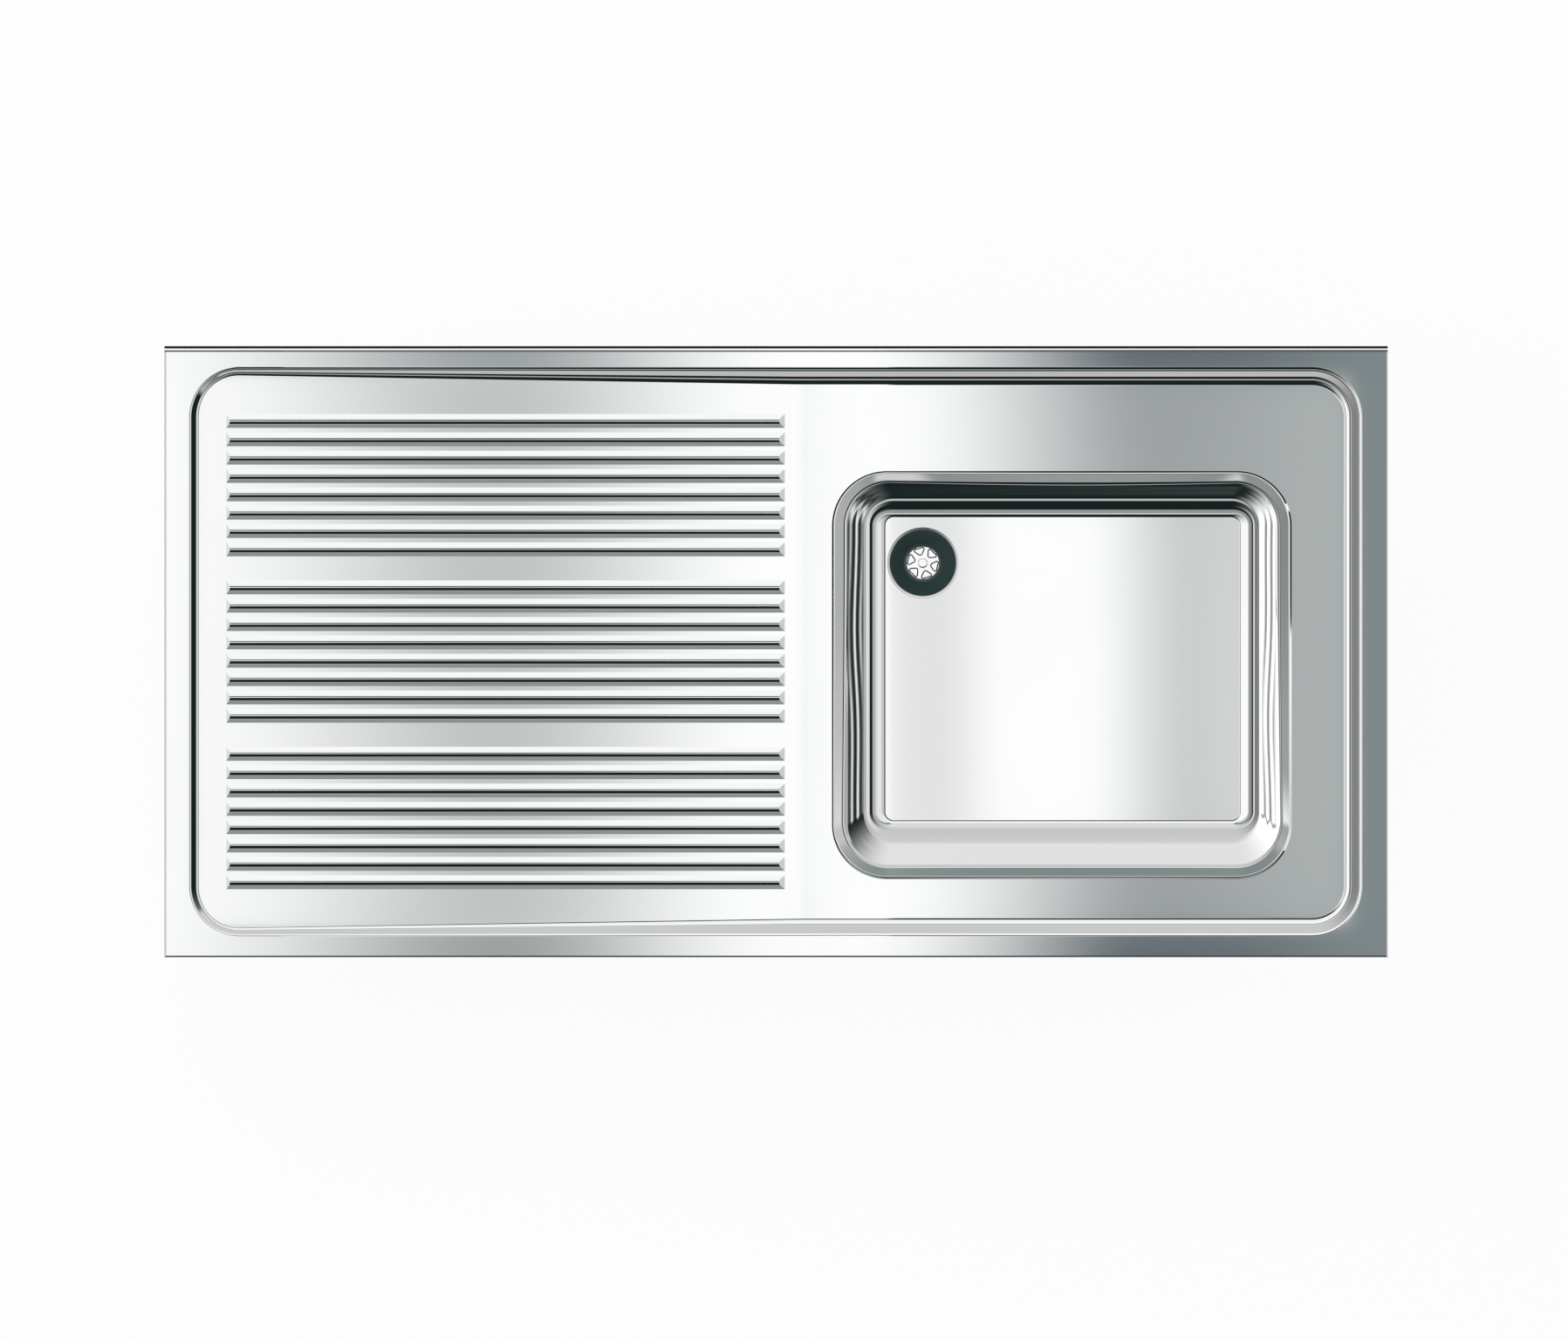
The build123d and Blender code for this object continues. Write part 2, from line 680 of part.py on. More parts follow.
def backnut():
    """Hexagon backnut on the tail, its lower corners chamfered round."""
    nut = hexagon_ring(BACKNUT_FLAT, TAIL_RADIUS + THREAD_CLEARANCE, backnut_low, slip_low)
    corner = BACKNUT_FLAT / math.cos(math.pi / 6)
    cone = turned([
        (0, backnut_low),
        (corner - BACKNUT_CHAMFER, backnut_low),
        (corner, backnut_low + BACKNUT_CHAMFER),
        (corner, slip_low),
        (0, slip_low),
    ])
    return nut & cone


def waste_pieces():
    """All pieces of the waste, set at its place in the bowl."""
    seal_inner = TAIL_RADIUS + SEAL_INNER_CLEARANCE
    seal_outer = FLANGE_RADIUS - SEAL_MARGIN
    screw_bore = SCREW_RADIUS + SCREW_CLEARANCE
    made = {
        "waste_body": waste_body(),
        "flange_seal": ring(seal_outer, BOWL_HOLE_RADIUS, dish_z, flange_low),
        "under_seal": ring(seal_outer, seal_inner, under_seal_low, dish_z - SHEET),
        "slip_washer": ring(seal_outer, seal_inner, slip_low, under_seal_low),
        "backnut": backnut(),
        "screw_insert": ring(insert_radius, screw_bore, bridge_low, bridge_top),
        "strainer": strainer(),
        "strainer_screw": strainer_screw(),
    }
    return {name: Pos(waste_x, waste_y, 0) * solid for name, solid in made.items()}


# Earth terminal

def earth_pieces():
    """Stud welded under the rear rail's foot, with washers, nut and a tag that reaches past the foot."""
    hole = EARTH_STUD_RADIUS + EARTH_HOLE_CLEARANCE
    top = SHEET
    first_low = top - EARTH_WASHER_THICK
    tag_low = first_low - EARTH_TAG_THICK
    second_low = tag_low - EARTH_WASHER_THICK
    nut_low = second_low - EARTH_NUT_THICK
    stud = rod(EARTH_STUD_RADIUS, top - EARTH_STUD_LENGTH, top)
    tip = stud.edges().filter_by(GeomType.CIRCLE).sort_by(Axis.Z)[0]
    half = EARTH_TAG_WIDTH / 2
    tag_face = Pos(EARTH_TAG_LENGTH / 2 - half, 0) * RectangleRounded(
        EARTH_TAG_LENGTH, EARTH_TAG_WIDTH, half - EARTH_HOLE_CLEARANCE
    )
    tag_face -= Circle(hole)
    tag_face -= Pos(EARTH_TAG_LENGTH - EARTH_TAG_WIDTH, 0) * Circle(EARTH_TAG_HOLE)
    washers = [
        ring(EARTH_WASHER_RADIUS, hole, first_low, top),
        ring(EARTH_WASHER_RADIUS, hole, second_low, tag_low),
    ]
    place = Pos(left_x + EARTH_FROM_LEFT, rear_y - CLAMP_FROM_EDGE, 0)
    return {
        "earth_stud": place * chamfer(tip, STUD_CHAMFER),
        "earth_washers": place * Compound(washers),
        "earth_tag": place * Pos(0, 0, tag_low) * Rot(0, 0, -90) * extrude(tag_face, amount=EARTH_TAG_THICK),
        "earth_nut": place * hexagon_ring(
            EARTH_NUT_FLAT, EARTH_STUD_RADIUS + THREAD_CLEARANCE, nut_low, second_low
        ),
    }


# Turn clamps

jaw_z = -CLAMP_GRIP - CLAMP_GAP
arm_high = jaw_z - ARM_JAW_RISE
arm_low = arm_high - ARM_THICK
clamp_washer_high = arm_low - CLAMP_GAP
clamp_washer_low = clamp_washer_high - CLAMP_WASHER_THICK
nut_high = clamp_washer_low - CLAMP_GAP
nut_low = nut_high - NUT_BOSS_HEIGHT
clamp_stud_low = nut_low - CLAMP_STUD_TAIL


def clamp_arm():
    """Flat arm from its stud along +X, with an upturned jaw at its end."""
    half = ARM_WIDTH / 2
    plate = extrude(Rectangle(ARM_REACH, ARM_WIDTH, align=(Align.MIN, Align.CENTER)) + Circle(half),
                    amount=ARM_THICK)
    arm = Pos(0, 0, arm_low) * plate
    arm += block((ARM_REACH - ARM_JAW, -half, arm_low), (ARM_REACH, half, jaw_z))
    jaw_edges = edges_within(arm, (ARM_REACH - ARM_JAW, -half, jaw_z), (ARM_REACH, half, jaw_z))
    arm = chamfer(jaw_edges, ARM_JAW_CHAMFER)
    return arm - rod(CLAMP_STUD_RADIUS + ARM_HOLE_CLEARANCE, arm_low - OVERCUT, arm_high + OVERCUT)


def wing_nut():
    """Wing nut on the stud under the arm."""
    boss = rod(NUT_BOSS_RADIUS, nut_low, nut_high)
    for side in (-1, 1):
        tip = Pos(side * NUT_WING_REACH, nut_low - NUT_WING_DROP) * Circle(NUT_WING_RADIUS)
        root = Pos(side * NUT_WING_ROOT, nut_low + NUT_WING_ROOT_RADIUS) * Circle(NUT_WING_ROOT_RADIUS)
        lobe = make_hull([*tip.edges(), *root.edges()])
        boss += extrude(Plane.XZ * lobe, amount=NUT_WING_THICK / 2, both=True)
    return boss - rod(CLAMP_STUD_RADIUS + NUT_CLEARANCE, nut_low - OVERCUT, nut_high + OVERCUT)


def clamp_places():
    """Name, x, y and parked direction of each clamp; parked arms point to the middle of the top."""
    reach_x = TOP_LENGTH / 2 - CLAMP_FROM_END
    reach_y = TOP_DEPTH / 2 - CLAMP_FROM_EDGE
    return [
        ("front_left", -reach_x, -reach_y, 0),
        ("front_right", reach_x, -reach_y, 180),
        ("rear_left", -reach_x, reach_y, 0),
        ("rear_right", reach_x, reach_y, 180),
    ]


def clamp_pieces():
    """Studs and washers as groups, an arm and a wing nut for each clamp."""
    stud = rod(CLAMP_STUD_RADIUS, clamp_stud_low, SHEET)
    washer = ring(
        CLAMP_WASHER_RADIUS, CLAMP_STUD_RADIUS + ARM_HOLE_CLEARANCE, clamp_washer_low, clamp_washer_high
    )
    made = {
        "clamp_studs": Compound([Pos(x, y, 0) * stud for _, x, y, _ in clamp_places()]),
        "clamp_washers": Compound([Pos(x, y, 0) * washer for _, x, y, _ in clamp_places()]),
    }
    for name, x, y, turn in clamp_places():
        made[f"clamp_arm_{name}"] = Pos(x, y, 0) * Rot(0, 0, turn) * clamp_arm()
        made[f"wing_nut_{name}"] = Pos(x, y, 0) * wing_nut()
    return made


def all_pieces():
    """Every piece of the sink by its node name."""
    return {
        "deck": deck_sheet(),
        "bowl": bowl_shell(),
        **rails(),
        **stiffeners(),
        **drainer_pads(),
        **bowl_pads(),
        **waste_pieces(),
        **earth_pieces(),
        **clamp_pieces(),
    }


os.makedirs("parts", exist_ok=True)
for node, solid in all_pieces().items():
    export_step(solid, f"parts/{node}.step")
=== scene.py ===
"""Looks of a commercial sink top: polished sheet, drawn bowl, strainer waste and the fittings below.

Sizes are in metres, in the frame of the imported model: +X to the bowl end, +Y to the rear upstand, +Z up.
"""
import logging
from contextlib import contextmanager
from dataclasses import dataclass
from enum import Enum
from math import asin, atan, atan2, cos, pi, radians, sin, tan
from typing import Iterable, Iterator, Optional, Sequence, Union

import bpy
from mathutils import Matrix, Vector
from mathutils.geometry import delaunay_2d_cdt


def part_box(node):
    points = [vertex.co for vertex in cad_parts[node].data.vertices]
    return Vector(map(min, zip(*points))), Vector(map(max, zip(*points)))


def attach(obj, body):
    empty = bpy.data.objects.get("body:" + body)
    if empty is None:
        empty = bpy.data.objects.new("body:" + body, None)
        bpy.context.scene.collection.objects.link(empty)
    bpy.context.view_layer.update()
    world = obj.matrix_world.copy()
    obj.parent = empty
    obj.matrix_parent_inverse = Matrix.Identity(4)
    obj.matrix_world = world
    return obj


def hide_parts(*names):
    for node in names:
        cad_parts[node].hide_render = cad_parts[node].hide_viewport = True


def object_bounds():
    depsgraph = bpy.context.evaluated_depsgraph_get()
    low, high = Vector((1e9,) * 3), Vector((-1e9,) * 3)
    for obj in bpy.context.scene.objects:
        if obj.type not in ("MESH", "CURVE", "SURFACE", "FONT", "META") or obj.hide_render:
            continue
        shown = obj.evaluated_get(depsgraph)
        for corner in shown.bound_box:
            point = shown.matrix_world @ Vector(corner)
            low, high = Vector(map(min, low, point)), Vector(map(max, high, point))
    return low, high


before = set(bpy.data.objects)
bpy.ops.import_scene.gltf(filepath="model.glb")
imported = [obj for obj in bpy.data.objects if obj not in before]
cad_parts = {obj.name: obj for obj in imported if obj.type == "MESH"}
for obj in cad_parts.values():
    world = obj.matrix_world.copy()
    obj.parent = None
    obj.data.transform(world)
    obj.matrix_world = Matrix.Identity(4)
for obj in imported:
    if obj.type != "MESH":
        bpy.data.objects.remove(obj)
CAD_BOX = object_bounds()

MM = 0.001
UP = Vector((0, 0, 1))
QUARTER = pi / 2
FULL_TURN = 2 * pi
log = logging.getLogger("sink_top")

Piece = bpy.types.Object
Socket = bpy.types.NodeSocket
Inputs = dict[Union[str, int], object]
Colour = tuple[float, float, float]
Stop = tuple[float, Colour]
Tone = tuple[float, ...]
Place = tuple[Vector, Vector]
Section = list[tuple[float, float, float]]
HemStrip = tuple[tuple[float, float], tuple[float, float], Sequence[float], Sequence[float]]


class Slot(Enum):
    """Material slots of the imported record."""

    SATIN_STEEL = "satin_steel"
    BRIGHT_STEEL = "bright_steel"
    GALVANISED = "galvanised_steel"
    ZINC = "zinc_fixing"
    PAD = "deadening_pad"
    WASTE_PLASTIC = "waste_plastic"
    NUT_PLASTIC = "nut_plastic"
    RUBBER = "seal_rubber"
    BRASS = "insert_brass"


class Side(Enum):
    """Sides of the studio, as unit steps along X and Y."""

    FRONT = (0, -1)
    REAR = (0, 1)
    LEFT = (-1, 0)
    RIGHT = (1, 0)


# Finishes

class NodeSketch:
    """Short way to write the nodes of one shader tree."""

    def __init__(self, tree: bpy.types.NodeTree) -> None:
        """Start on the tree of a material or of the world."""
        self.tree = tree

    def add(self, kind: str, inputs: Optional[Inputs] = None, **settings: object) -> bpy.types.Node:
        """Add a shader node.

        Args:
            kind: node class.
            inputs: values or output sockets, by input name or number.
            settings: node properties.

        Returns:
            The new node.
        """
        node = self.tree.nodes.new(kind)
        for name, value in settings.items():
            setattr(node, name, value)
        self.fill(node, inputs or {})
        return node

    def fill(self, node: bpy.types.Node, inputs: Inputs) -> None:
        """Plug values or output sockets into a node, by input name or number."""
        for name, value in inputs.items():
            self.plug(node.inputs[name], value)

    def plug(self, socket: Socket, value: object) -> None:
        """Set an input, or link it.

        Args:
            socket: the input.
            value: plain value, or an output socket to link.
        """
        if isinstance(value, Socket):
            self.tree.links.new(value, socket)
        else:
            socket.default_value = value

    def surface(self, shader: bpy.types.Node) -> None:
        """Make a shader the material's surface."""
        self.plug(self.tree.nodes["Material Output"].inputs["Surface"], shader.outputs[0])

    def math(self, operation: str, *values: object) -> Socket:
        """Output of a math node on the given values or sockets."""
        return self.add("ShaderNodeMath", dict(enumerate(values)), operation=operation).outputs[0]

    def vector(self, operation: str, inputs: Inputs) -> Socket:
        """Output of a vector math node."""
        return self.add("ShaderNodeVectorMath", inputs, operation=operation).outputs[0]

    def ranged(self, value: Socket, low: float, high: float) -> Socket:
        """A 0 to 1 value spread over low to high."""
        inputs = {"Value": value, "To Min": low, "To Max": high}
        return self.add("ShaderNodeMapRange", inputs).outputs["Result"]

    def ramp(self, value: Socket, stops: Sequence[Stop]) -> Socket:
        """Colour ramp that eases between its stops.

        Args:
            value: place on the ramp.
            stops: places from 0 to 1 with their colours.

        Returns:
            The colour.
        """
        node = self.add("ShaderNodeValToRGB", {"Fac": value})
        node.color_ramp.interpolation = "EASE"
        marks = node.color_ramp.elements
        while len(marks) < len(stops):
            marks.new(1.0)
        for mark, (place, colour) in zip(marks, stops):
            mark.position = place
            mark.color = (*colour, 1.0)
        return node.outputs["Color"]

    def blend(self, factor: Socket, first: Colour, second: Colour) -> Socket:
        """Mix of two colours, by the mix node's numbered colour sockets."""
        inputs = {0: factor, 6: (*first, 1.0), 7: (*second, 1.0)}
        return self.add("ShaderNodeMix", inputs, data_type="RGBA").outputs[2]

    def places(self, scale: Sequence[float] = (1, 1, 1)) -> Socket:
        """Object coordinates, scaled."""
        spot = self.add("ShaderNodeTexCoord").outputs["Object"]
        return self.add("ShaderNodeMapping", {"Vector": spot, "Scale": tuple(scale)}).outputs["Vector"]

    def noise(self, places: Socket, scale: float, detail: float) -> Socket:
        """Grey noise over the given coordinates."""
        inputs = {"Vector": places, "Scale": scale, "Detail": detail}
        return self.add("ShaderNodeTexNoise", inputs).outputs[0]

    def bump(self, height: Socket, distance: float) -> Socket:
        """Bumped normal from a 0 to 1 height of the given depth."""
        inputs = {"Height": height, "Distance": distance, "Strength": 1.0}
        return self.add("ShaderNodeBump", inputs).outputs["Normal"]


def new_material(name: str) -> tuple[bpy.types.Material, NodeSketch]:
    """Start a material.

    Args:
        name: its name.

    Returns:
        The material, and the sketch that writes its nodes.
    """
    made = bpy.data.materials.new(name)
    made.use_nodes = True
    return made, NodeSketch(made.node_tree)


@dataclass(frozen=True)
class Finish:
    """A finish that pieces are dressed in."""

    name: str
    slot: Slot

    def paint(self, sketch: NodeSketch) -> Inputs:
        """Write the finish's own nodes.

        Args:
            sketch: writer of the material's nodes.

        Returns:
            What the surface takes, by input name.
        """
        raise NotImplementedError

    def material(self) -> bpy.types.Material:
        """The finish's material, made the first time it is asked for.

        Returns:
            The material.
        """
        made = bpy.data.materials.get(self.name)
        if made is None:
            made, sketch = new_material(self.name)
            sketch.fill(made.node_tree.nodes["Principled BSDF"], self.paint(sketch))
        return made

    def dress(self, piece: Piece) -> None:
        """Make this the only material of a piece."""
        piece.data.materials.clear()
        piece.data.materials.append(self.material())


@dataclass(frozen=True)
class RolledSteel(Finish):
    """Polished stainless sheet with a faint lengthwise grain and soft cloudiness."""

    pale: Colour
    deep: Colour
    smooth: float
    hazy: float
    grain_along: float = 14.0
    grain_across: float = 1100.0
    grain_depth: float = 0.0001 * MM
    grain_detail: float = 3.0
    cloud_size: float = 6.0
    cloud_detail: float = 4.0

    def paint(self, sketch: NodeSketch) -> Inputs:
        """Grain drives roughness and a very shallow bump, clouds shift the tone a little.

        Args:
            sketch: writer of the material's nodes.

        Returns:
            What the surface takes, by input name.
        """
        stretch = (self.grain_along, self.grain_across, self.grain_across)
        grain = sketch.noise(sketch.places(stretch), 1.0, self.grain_detail)
        cloud = sketch.noise(sketch.places(), self.cloud_size, self.cloud_detail)
        mottled = sketch.math("MULTIPLY", grain, cloud)
        return {
            "Base Color": sketch.blend(cloud, self.pale, self.deep),
            "Roughness": sketch.ranged(mottled, self.smooth, self.hazy),
            "Normal": sketch.bump(grain, self.grain_depth),
            "Metallic": 1.0,
        }


@dataclass(frozen=True)
class SpangledZinc(Finish):
    """Galvanised sheet with its crystal spangle."""

    pale: Colour = (0.68, 0.7, 0.71)
    deep: Colour = (0.47, 0.49, 0.51)
    spangle: float = 140.0
    tone_spread: float = 3.7
    tone_share: float = 0.75
    dull: float = 0.48
    glossy: float = 0.3
    grain: float = 900.0
    grain_detail: float = 3.0
    grain_depth: float = 0.01 * MM

    def paint(self, sketch: NodeSketch) -> Inputs:
        """Each crystal has its own tone and gloss, with a fine grain over them.

        Args:
            sketch: writer of the material's nodes.

        Returns:
            What the surface takes, by input name.
        """
        crystals = sketch.add("ShaderNodeTexVoronoi", {"Vector": sketch.places(), "Scale": self.spangle})
        spread_out = sketch.math("MULTIPLY", crystals.outputs["Color"], self.tone_spread)
        tone = sketch.math("MULTIPLY", sketch.math("FRACT", spread_out), self.tone_share)
        fine = sketch.noise(sketch.places(), self.grain, self.grain_detail)
        both = sketch.math("ADD", tone, sketch.math("MULTIPLY", fine, 1 - self.tone_share))
        return {
            "Base Color": sketch.blend(both, self.deep, self.pale),
            "Roughness": sketch.ranged(both, self.dull, self.glossy),
            "Normal": sketch.bump(fine, self.grain_depth),
            "Metallic": 1.0,
        }


@dataclass(frozen=True)
class FineGrained(Finish):
    """Surface whose tone drifts slowly and whose gloss follows a fine texture."""

    pale: Colour
    deep: Colour
    smooth: float
    rough: float
    texture: float = 1080.0
    texture_depth: float = 0.004 * MM
    texture_detail: float = 2.0
    drift: float = 90.0
    drift_detail: float = 3.0

    def paint(self, sketch: NodeSketch) -> Inputs:
        """Slow drift of tone, with a fine texture in gloss and bump.

        Args:
            sketch: writer of the material's nodes.

        Returns:
            What the surface takes, by input name.
        """
        slow = sketch.noise(sketch.places(), self.drift, self.drift_detail)
        fine = sketch.noise(sketch.places(), self.texture, self.texture_detail)
        return {
            "Base Color": sketch.blend(slow, self.deep, self.pale),
            "Roughness": sketch.ranged(fine, self.smooth, self.rough),
            "Normal": sketch.bump(fine, self.texture_depth),
        }


@dataclass(frozen=True)
class PlatedMetal(FineGrained):
    """Plated or machined metal."""

    def paint(self, sketch: NodeSketch) -> Inputs:
        """The fine grain, on metal."""
        return {**super().paint(sketch), "Metallic": 1.0}


@dataclass(frozen=True)
class Moulding(FineGrained):
    """Moulded plastic or rubber."""

    texture: float = 1500.0
    texture_depth: float = 0.01 * MM
    drift: float = 60.0
    sheen: float = 0.5

    def paint(self, sketch: NodeSketch) -> Inputs:
        """The fine grain, with the moulding's own sheen."""
        return {**super().paint(sketch), "Specular IOR Level": self.sheen}


@dataclass(frozen=True)
class WaffledPad(Finish):
    """Heavy black deadening mat, pressed with small studs."""

    pale: Colour = (0.055, 0.055, 0.06)
    deep: Colour = (0.018, 0.018, 0.02)
    pitch: float = 9 * MM
    stud_depth: float = 0.35 * MM
    stud_top: float = 0.38
    stud_round: float = 0.08
    speckle: float = 700.0
    speckle_detail: float = 3.0
    smooth: float = 0.75
    rough: float = 0.95

    def paint(self, sketch: NodeSketch) -> Inputs:
        """Rows of studs over a speckled mat.

        Args:
            sketch: writer of the material's nodes.

        Returns:
            What the surface takes, by input name.
        """
        inputs = {"Vector": sketch.places(), "Scale": 1 / self.pitch, "Randomness": 0.0}
        studs = sketch.add("ShaderNodeTexVoronoi", inputs, distance="CHEBYCHEV").outputs["Distance"]
        speckle = sketch.noise(sketch.places(), self.speckle, self.speckle_detail)
        height = sketch.math("SMOOTH_MIN", studs, self.stud_top, self.stud_round)
        return {
            "Base Color": sketch.blend(speckle, self.deep, self.pale),
            "Roughness": sketch.ranged(speckle, self.smooth, self.rough),
            "Normal": sketch.bump(height, self.stud_depth),
        }


SHEET_TONE = 0.75
SHEET_FINISH = RolledSteel(
    "polished_sheet", Slot.SATIN_STEEL, (0.76, 0.765, 0.765), (0.735, 0.74, 0.74), 0.02, 0.05
)
BRIGHT_FINISH = RolledSteel(
    "bright_strainer_steel", Slot.BRIGHT_STEEL, (0.9, 0.905, 0.905), (0.82, 0.83, 0.83), 0.06, 0.16,
    grain_along=300.0, grain_across=300.0,
)
RAIL_FINISH = SpangledZinc("spangled_zinc", Slot.GALVANISED)
FIXING_FINISH = PlatedMetal(
    "plated_fixing", Slot.ZINC, (0.74, 0.75, 0.74), (0.6, 0.61, 0.58), 0.24, 0.36
)
BRASS_FINISH = PlatedMetal("machined_brass", Slot.BRASS, (0.8, 0.62, 0.3), (0.66, 0.48, 0.22), 0.2, 0.32)
PAD_FINISH = WaffledPad("deadening_mat", Slot.PAD)
WASTE_FINISH = Moulding(
    "dark_waste_moulding", Slot.WASTE_PLASTIC, (0.034, 0.078, 0.074), (0.026, 0.064, 0.06), 0.22, 0.34,
    sheen=0.3,
)
NUT_FINISH = Moulding(
    "pale_nut_moulding", Slot.NUT_PLASTIC, (0.72, 0.72, 0.7), (0.62, 0.62, 0.6), 0.4, 0.55
)
RUBBER_FINISH = Moulding(
    "seal_rubber", Slot.RUBBER, (0.045, 0.045, 0.045), (0.025, 0.025, 0.026), 0.6, 0.8,
    texture=900.0, texture_depth=0.02 * MM,
)


# Sheet skins with exact normals, so that polished faces mirror cleanly

def closed_pairs(items: Sequence) -> list[tuple]:
    """Each item of a closed loop with the one after it."""
    return list(zip(items, [*items[1:], items[0]]))


@dataclass(frozen=True)
class SkinPoint:
    """One place on a sheet: its face side, its back side and the face's normal."""

    face: Vector
    back: Vector
    normal: Vector


Row = list[SkinPoint]


class SheetSkin:
    """Collects faces with exact corner normals and welds them into one mesh."""

    GRID = 1e-6

    def __init__(self) -> None:
        """Start with no faces."""
        self.points: list[Vector] = []
        self.numbers: dict[tuple[int, int, int], int] = {}
        self.faces: list[list[int]] = []
        self.normals: list[Vector] = []

    def _number(self, point: Vector) -> int:
        """Number of the welded vertex at a point.

        Args:
            point: the place.

        Returns:
            The number, new if nothing was there.
        """
        key = tuple(round(value / self.GRID) for value in point)
        if key not in self.numbers:
            self.numbers[key] = len(self.points)
            self.points.append(Vector(point))
        return self.numbers[key]

    def face(self, corners: Sequence[Vector], normals: Union[Vector, Sequence[Vector]]) -> None:
        """Add one face, turned so that it faces along its normals.

        Args:
            corners: its corner points in order.
            normals: one normal for all of them, or one for each.
        """
        each = [normals] * len(corners) if isinstance(normals, Vector) else list(normals)
        pairs = []
        for corner, normal in zip(corners, each):
            number = self._number(corner)
            if number not in [seen for seen, _ in pairs]:
                pairs.append((number, normal))
        if len(pairs) < 3:
            return
        area = Vector((0, 0, 0))
        loop = [self.points[number] for number, _ in pairs]
        for first, second in closed_pairs(loop):
            area += (first - loop[0]).cross(second - loop[0])
        facing = sum((normal for _, normal in pairs), Vector((0, 0, 0)))
        if area.dot(facing) < 0:
            pairs.reverse()
        self.faces.append([number for number, _ in pairs])
        self.normals += [normal for _, normal in pairs]

    def sheet(self, corners: Row) -> None:
        """Add a face of the sheet and the matching face on its back."""
        self.face([corner.face for corner in corners], [corner.normal for corner in corners])
        self.face([corner.back for corner in corners], [-corner.normal for corner in corners])

    def band(self, rows: Sequence[Row]) -> None:
        """Add the sheet between closed rows of points.

        Args:
            rows: the rows, with equal numbers of points.
        """
        for near, far in zip(rows, rows[1:]):
            for (start, end), (next_start, next_end) in zip(closed_pairs(near), closed_pairs(far)):
                self.sheet([start, end, next_end, next_start])

    def cut_edge(self, row: Row, normals: Sequence[Vector]) -> None:
        """Close the sheet's cut edge along a closed row.

        Args:
            row: the row.
            normals: one normal for each strip that starts at a point.
        """
        for (point, after), normal in zip(closed_pairs(row), normals):
            self.face([point.face, after.face, after.back, point.back], normal)

    def piece(self, name: str) -> Piece:
        """The welded mesh as an object at the origin.

        Args:
            name: object name.

        Returns:
            The new object.
        """
        mesh = bpy.data.meshes.new(name)
        mesh.from_pydata([tuple(point) for point in self.points], [], self.faces)
        mesh.polygons.foreach_set("use_smooth", [True] * len(mesh.polygons))
        mesh.normals_split_custom_set([tuple(normal.normalized()) for normal in self.normals])
        made = bpy.data.objects.new(name, mesh)
        bpy.context.scene.collection.objects.link(made)
        return made


def within(place: Vector, loop: Sequence[Vector]) -> bool:
    """Whether a place lies inside a closed loop, in plan.

    Args:
        place: the place.
        loop: points round the loop.

    Returns:
        True where it does.
    """
    found = False
    for first, second in closed_pairs(loop):
        if (first.y > place.y) != (second.y > place.y):
            if place.x < first.x + (place.y - first.y) / (second.y - first.y) * (second.x - first.x):
                found = not found
    return found


def fill_plan(
    loops: Sequence[Sequence[Vector]], lines: Sequence[tuple[int, int]] = (), grid: float = 1e-8
) -> list[list[Vector]]:
    """Triangles between an outline and the holes in it, keeping every edge round them.

    Args:
        loops: points round the outline, then round each hole, of which X and Y count.
        lines: numbers of outline points that stay joined in pairs.
        grid: distance under which points count as one.

    Returns:
        Corners of each triangle.
    """
    points = [point for loop in loops for point in loop]
    edges = []
    start = 0
    for loop in loops:
        edges += closed_pairs(range(start, start + len(loop)))
        start += len(loop)
    edges += lines
    flat = [point.to_2d() for point in points]
    _, _, triangles, origins, _, _ = delaunay_2d_cdt(flat, edges, [], 0, grid)
    kept = []
    for triangle in triangles:
        numbers = [origins[corner][0] for corner in triangle]
        middle = sum((flat[number] for number in numbers), Vector((0, 0))) / 3
        if within(middle, loops[0]) and not any(within(middle, hole) for hole in loops[1:]):
            kept.append([points[number] for number in numbers])
    return kept


def mixed(first: float, second: float, share: float) -> float:
    """Value at a share of the way between two others."""
    return first + (second - first) * share


def heading(angle: float) -> Vector:
    """Level direction at an angle from +X."""
    return Vector((cos(angle), sin(angle), 0))


def spread(count: int) -> list[float]:
    """Even marks strictly between 0 and 1."""
    return [(index + 1) / (count + 1) for index in range(count)]


def bend_run(x: float, z: float, radius: float, start: float, end: float, steps: int) -> Section:
    """Section of a round bend.

    Args:
        x: reach where it starts.
        z: drop where it starts.
        radius: bend radius, below zero where the slope angle decreases.
        start: slope angle where it starts.
        end: slope angle where it ends.
        steps: steps along it.

    Returns:
        Reach, drop and slope angle at each step.
    """
    angles = [mixed(start, end, step / steps) for step in range(steps + 1)]
    return [(x + radius * (sin(angle) - sin(start)), z + radius * (cos(start) - cos(angle)), angle)
            for angle in angles]


def wall_bend(reach: float, steepness: float, x: float, z: float, slope: float) -> float:
    """Radius of a bend that runs out exactly along a straight wall.

    Args:
        reach: reach where the wall's line meets the level.
        steepness: slope angle of the wall.
        x: reach where the bend starts.
        z: distance from the level where the bend starts.
        slope: slope angle where the bend starts.

    Returns:
        The radius.
    """
    lean = 1 / tan(steepness)
    span = sin(steepness) - sin(slope) - lean * (cos(slope) - cos(steepness))
    return (reach + lean * z - x) / span


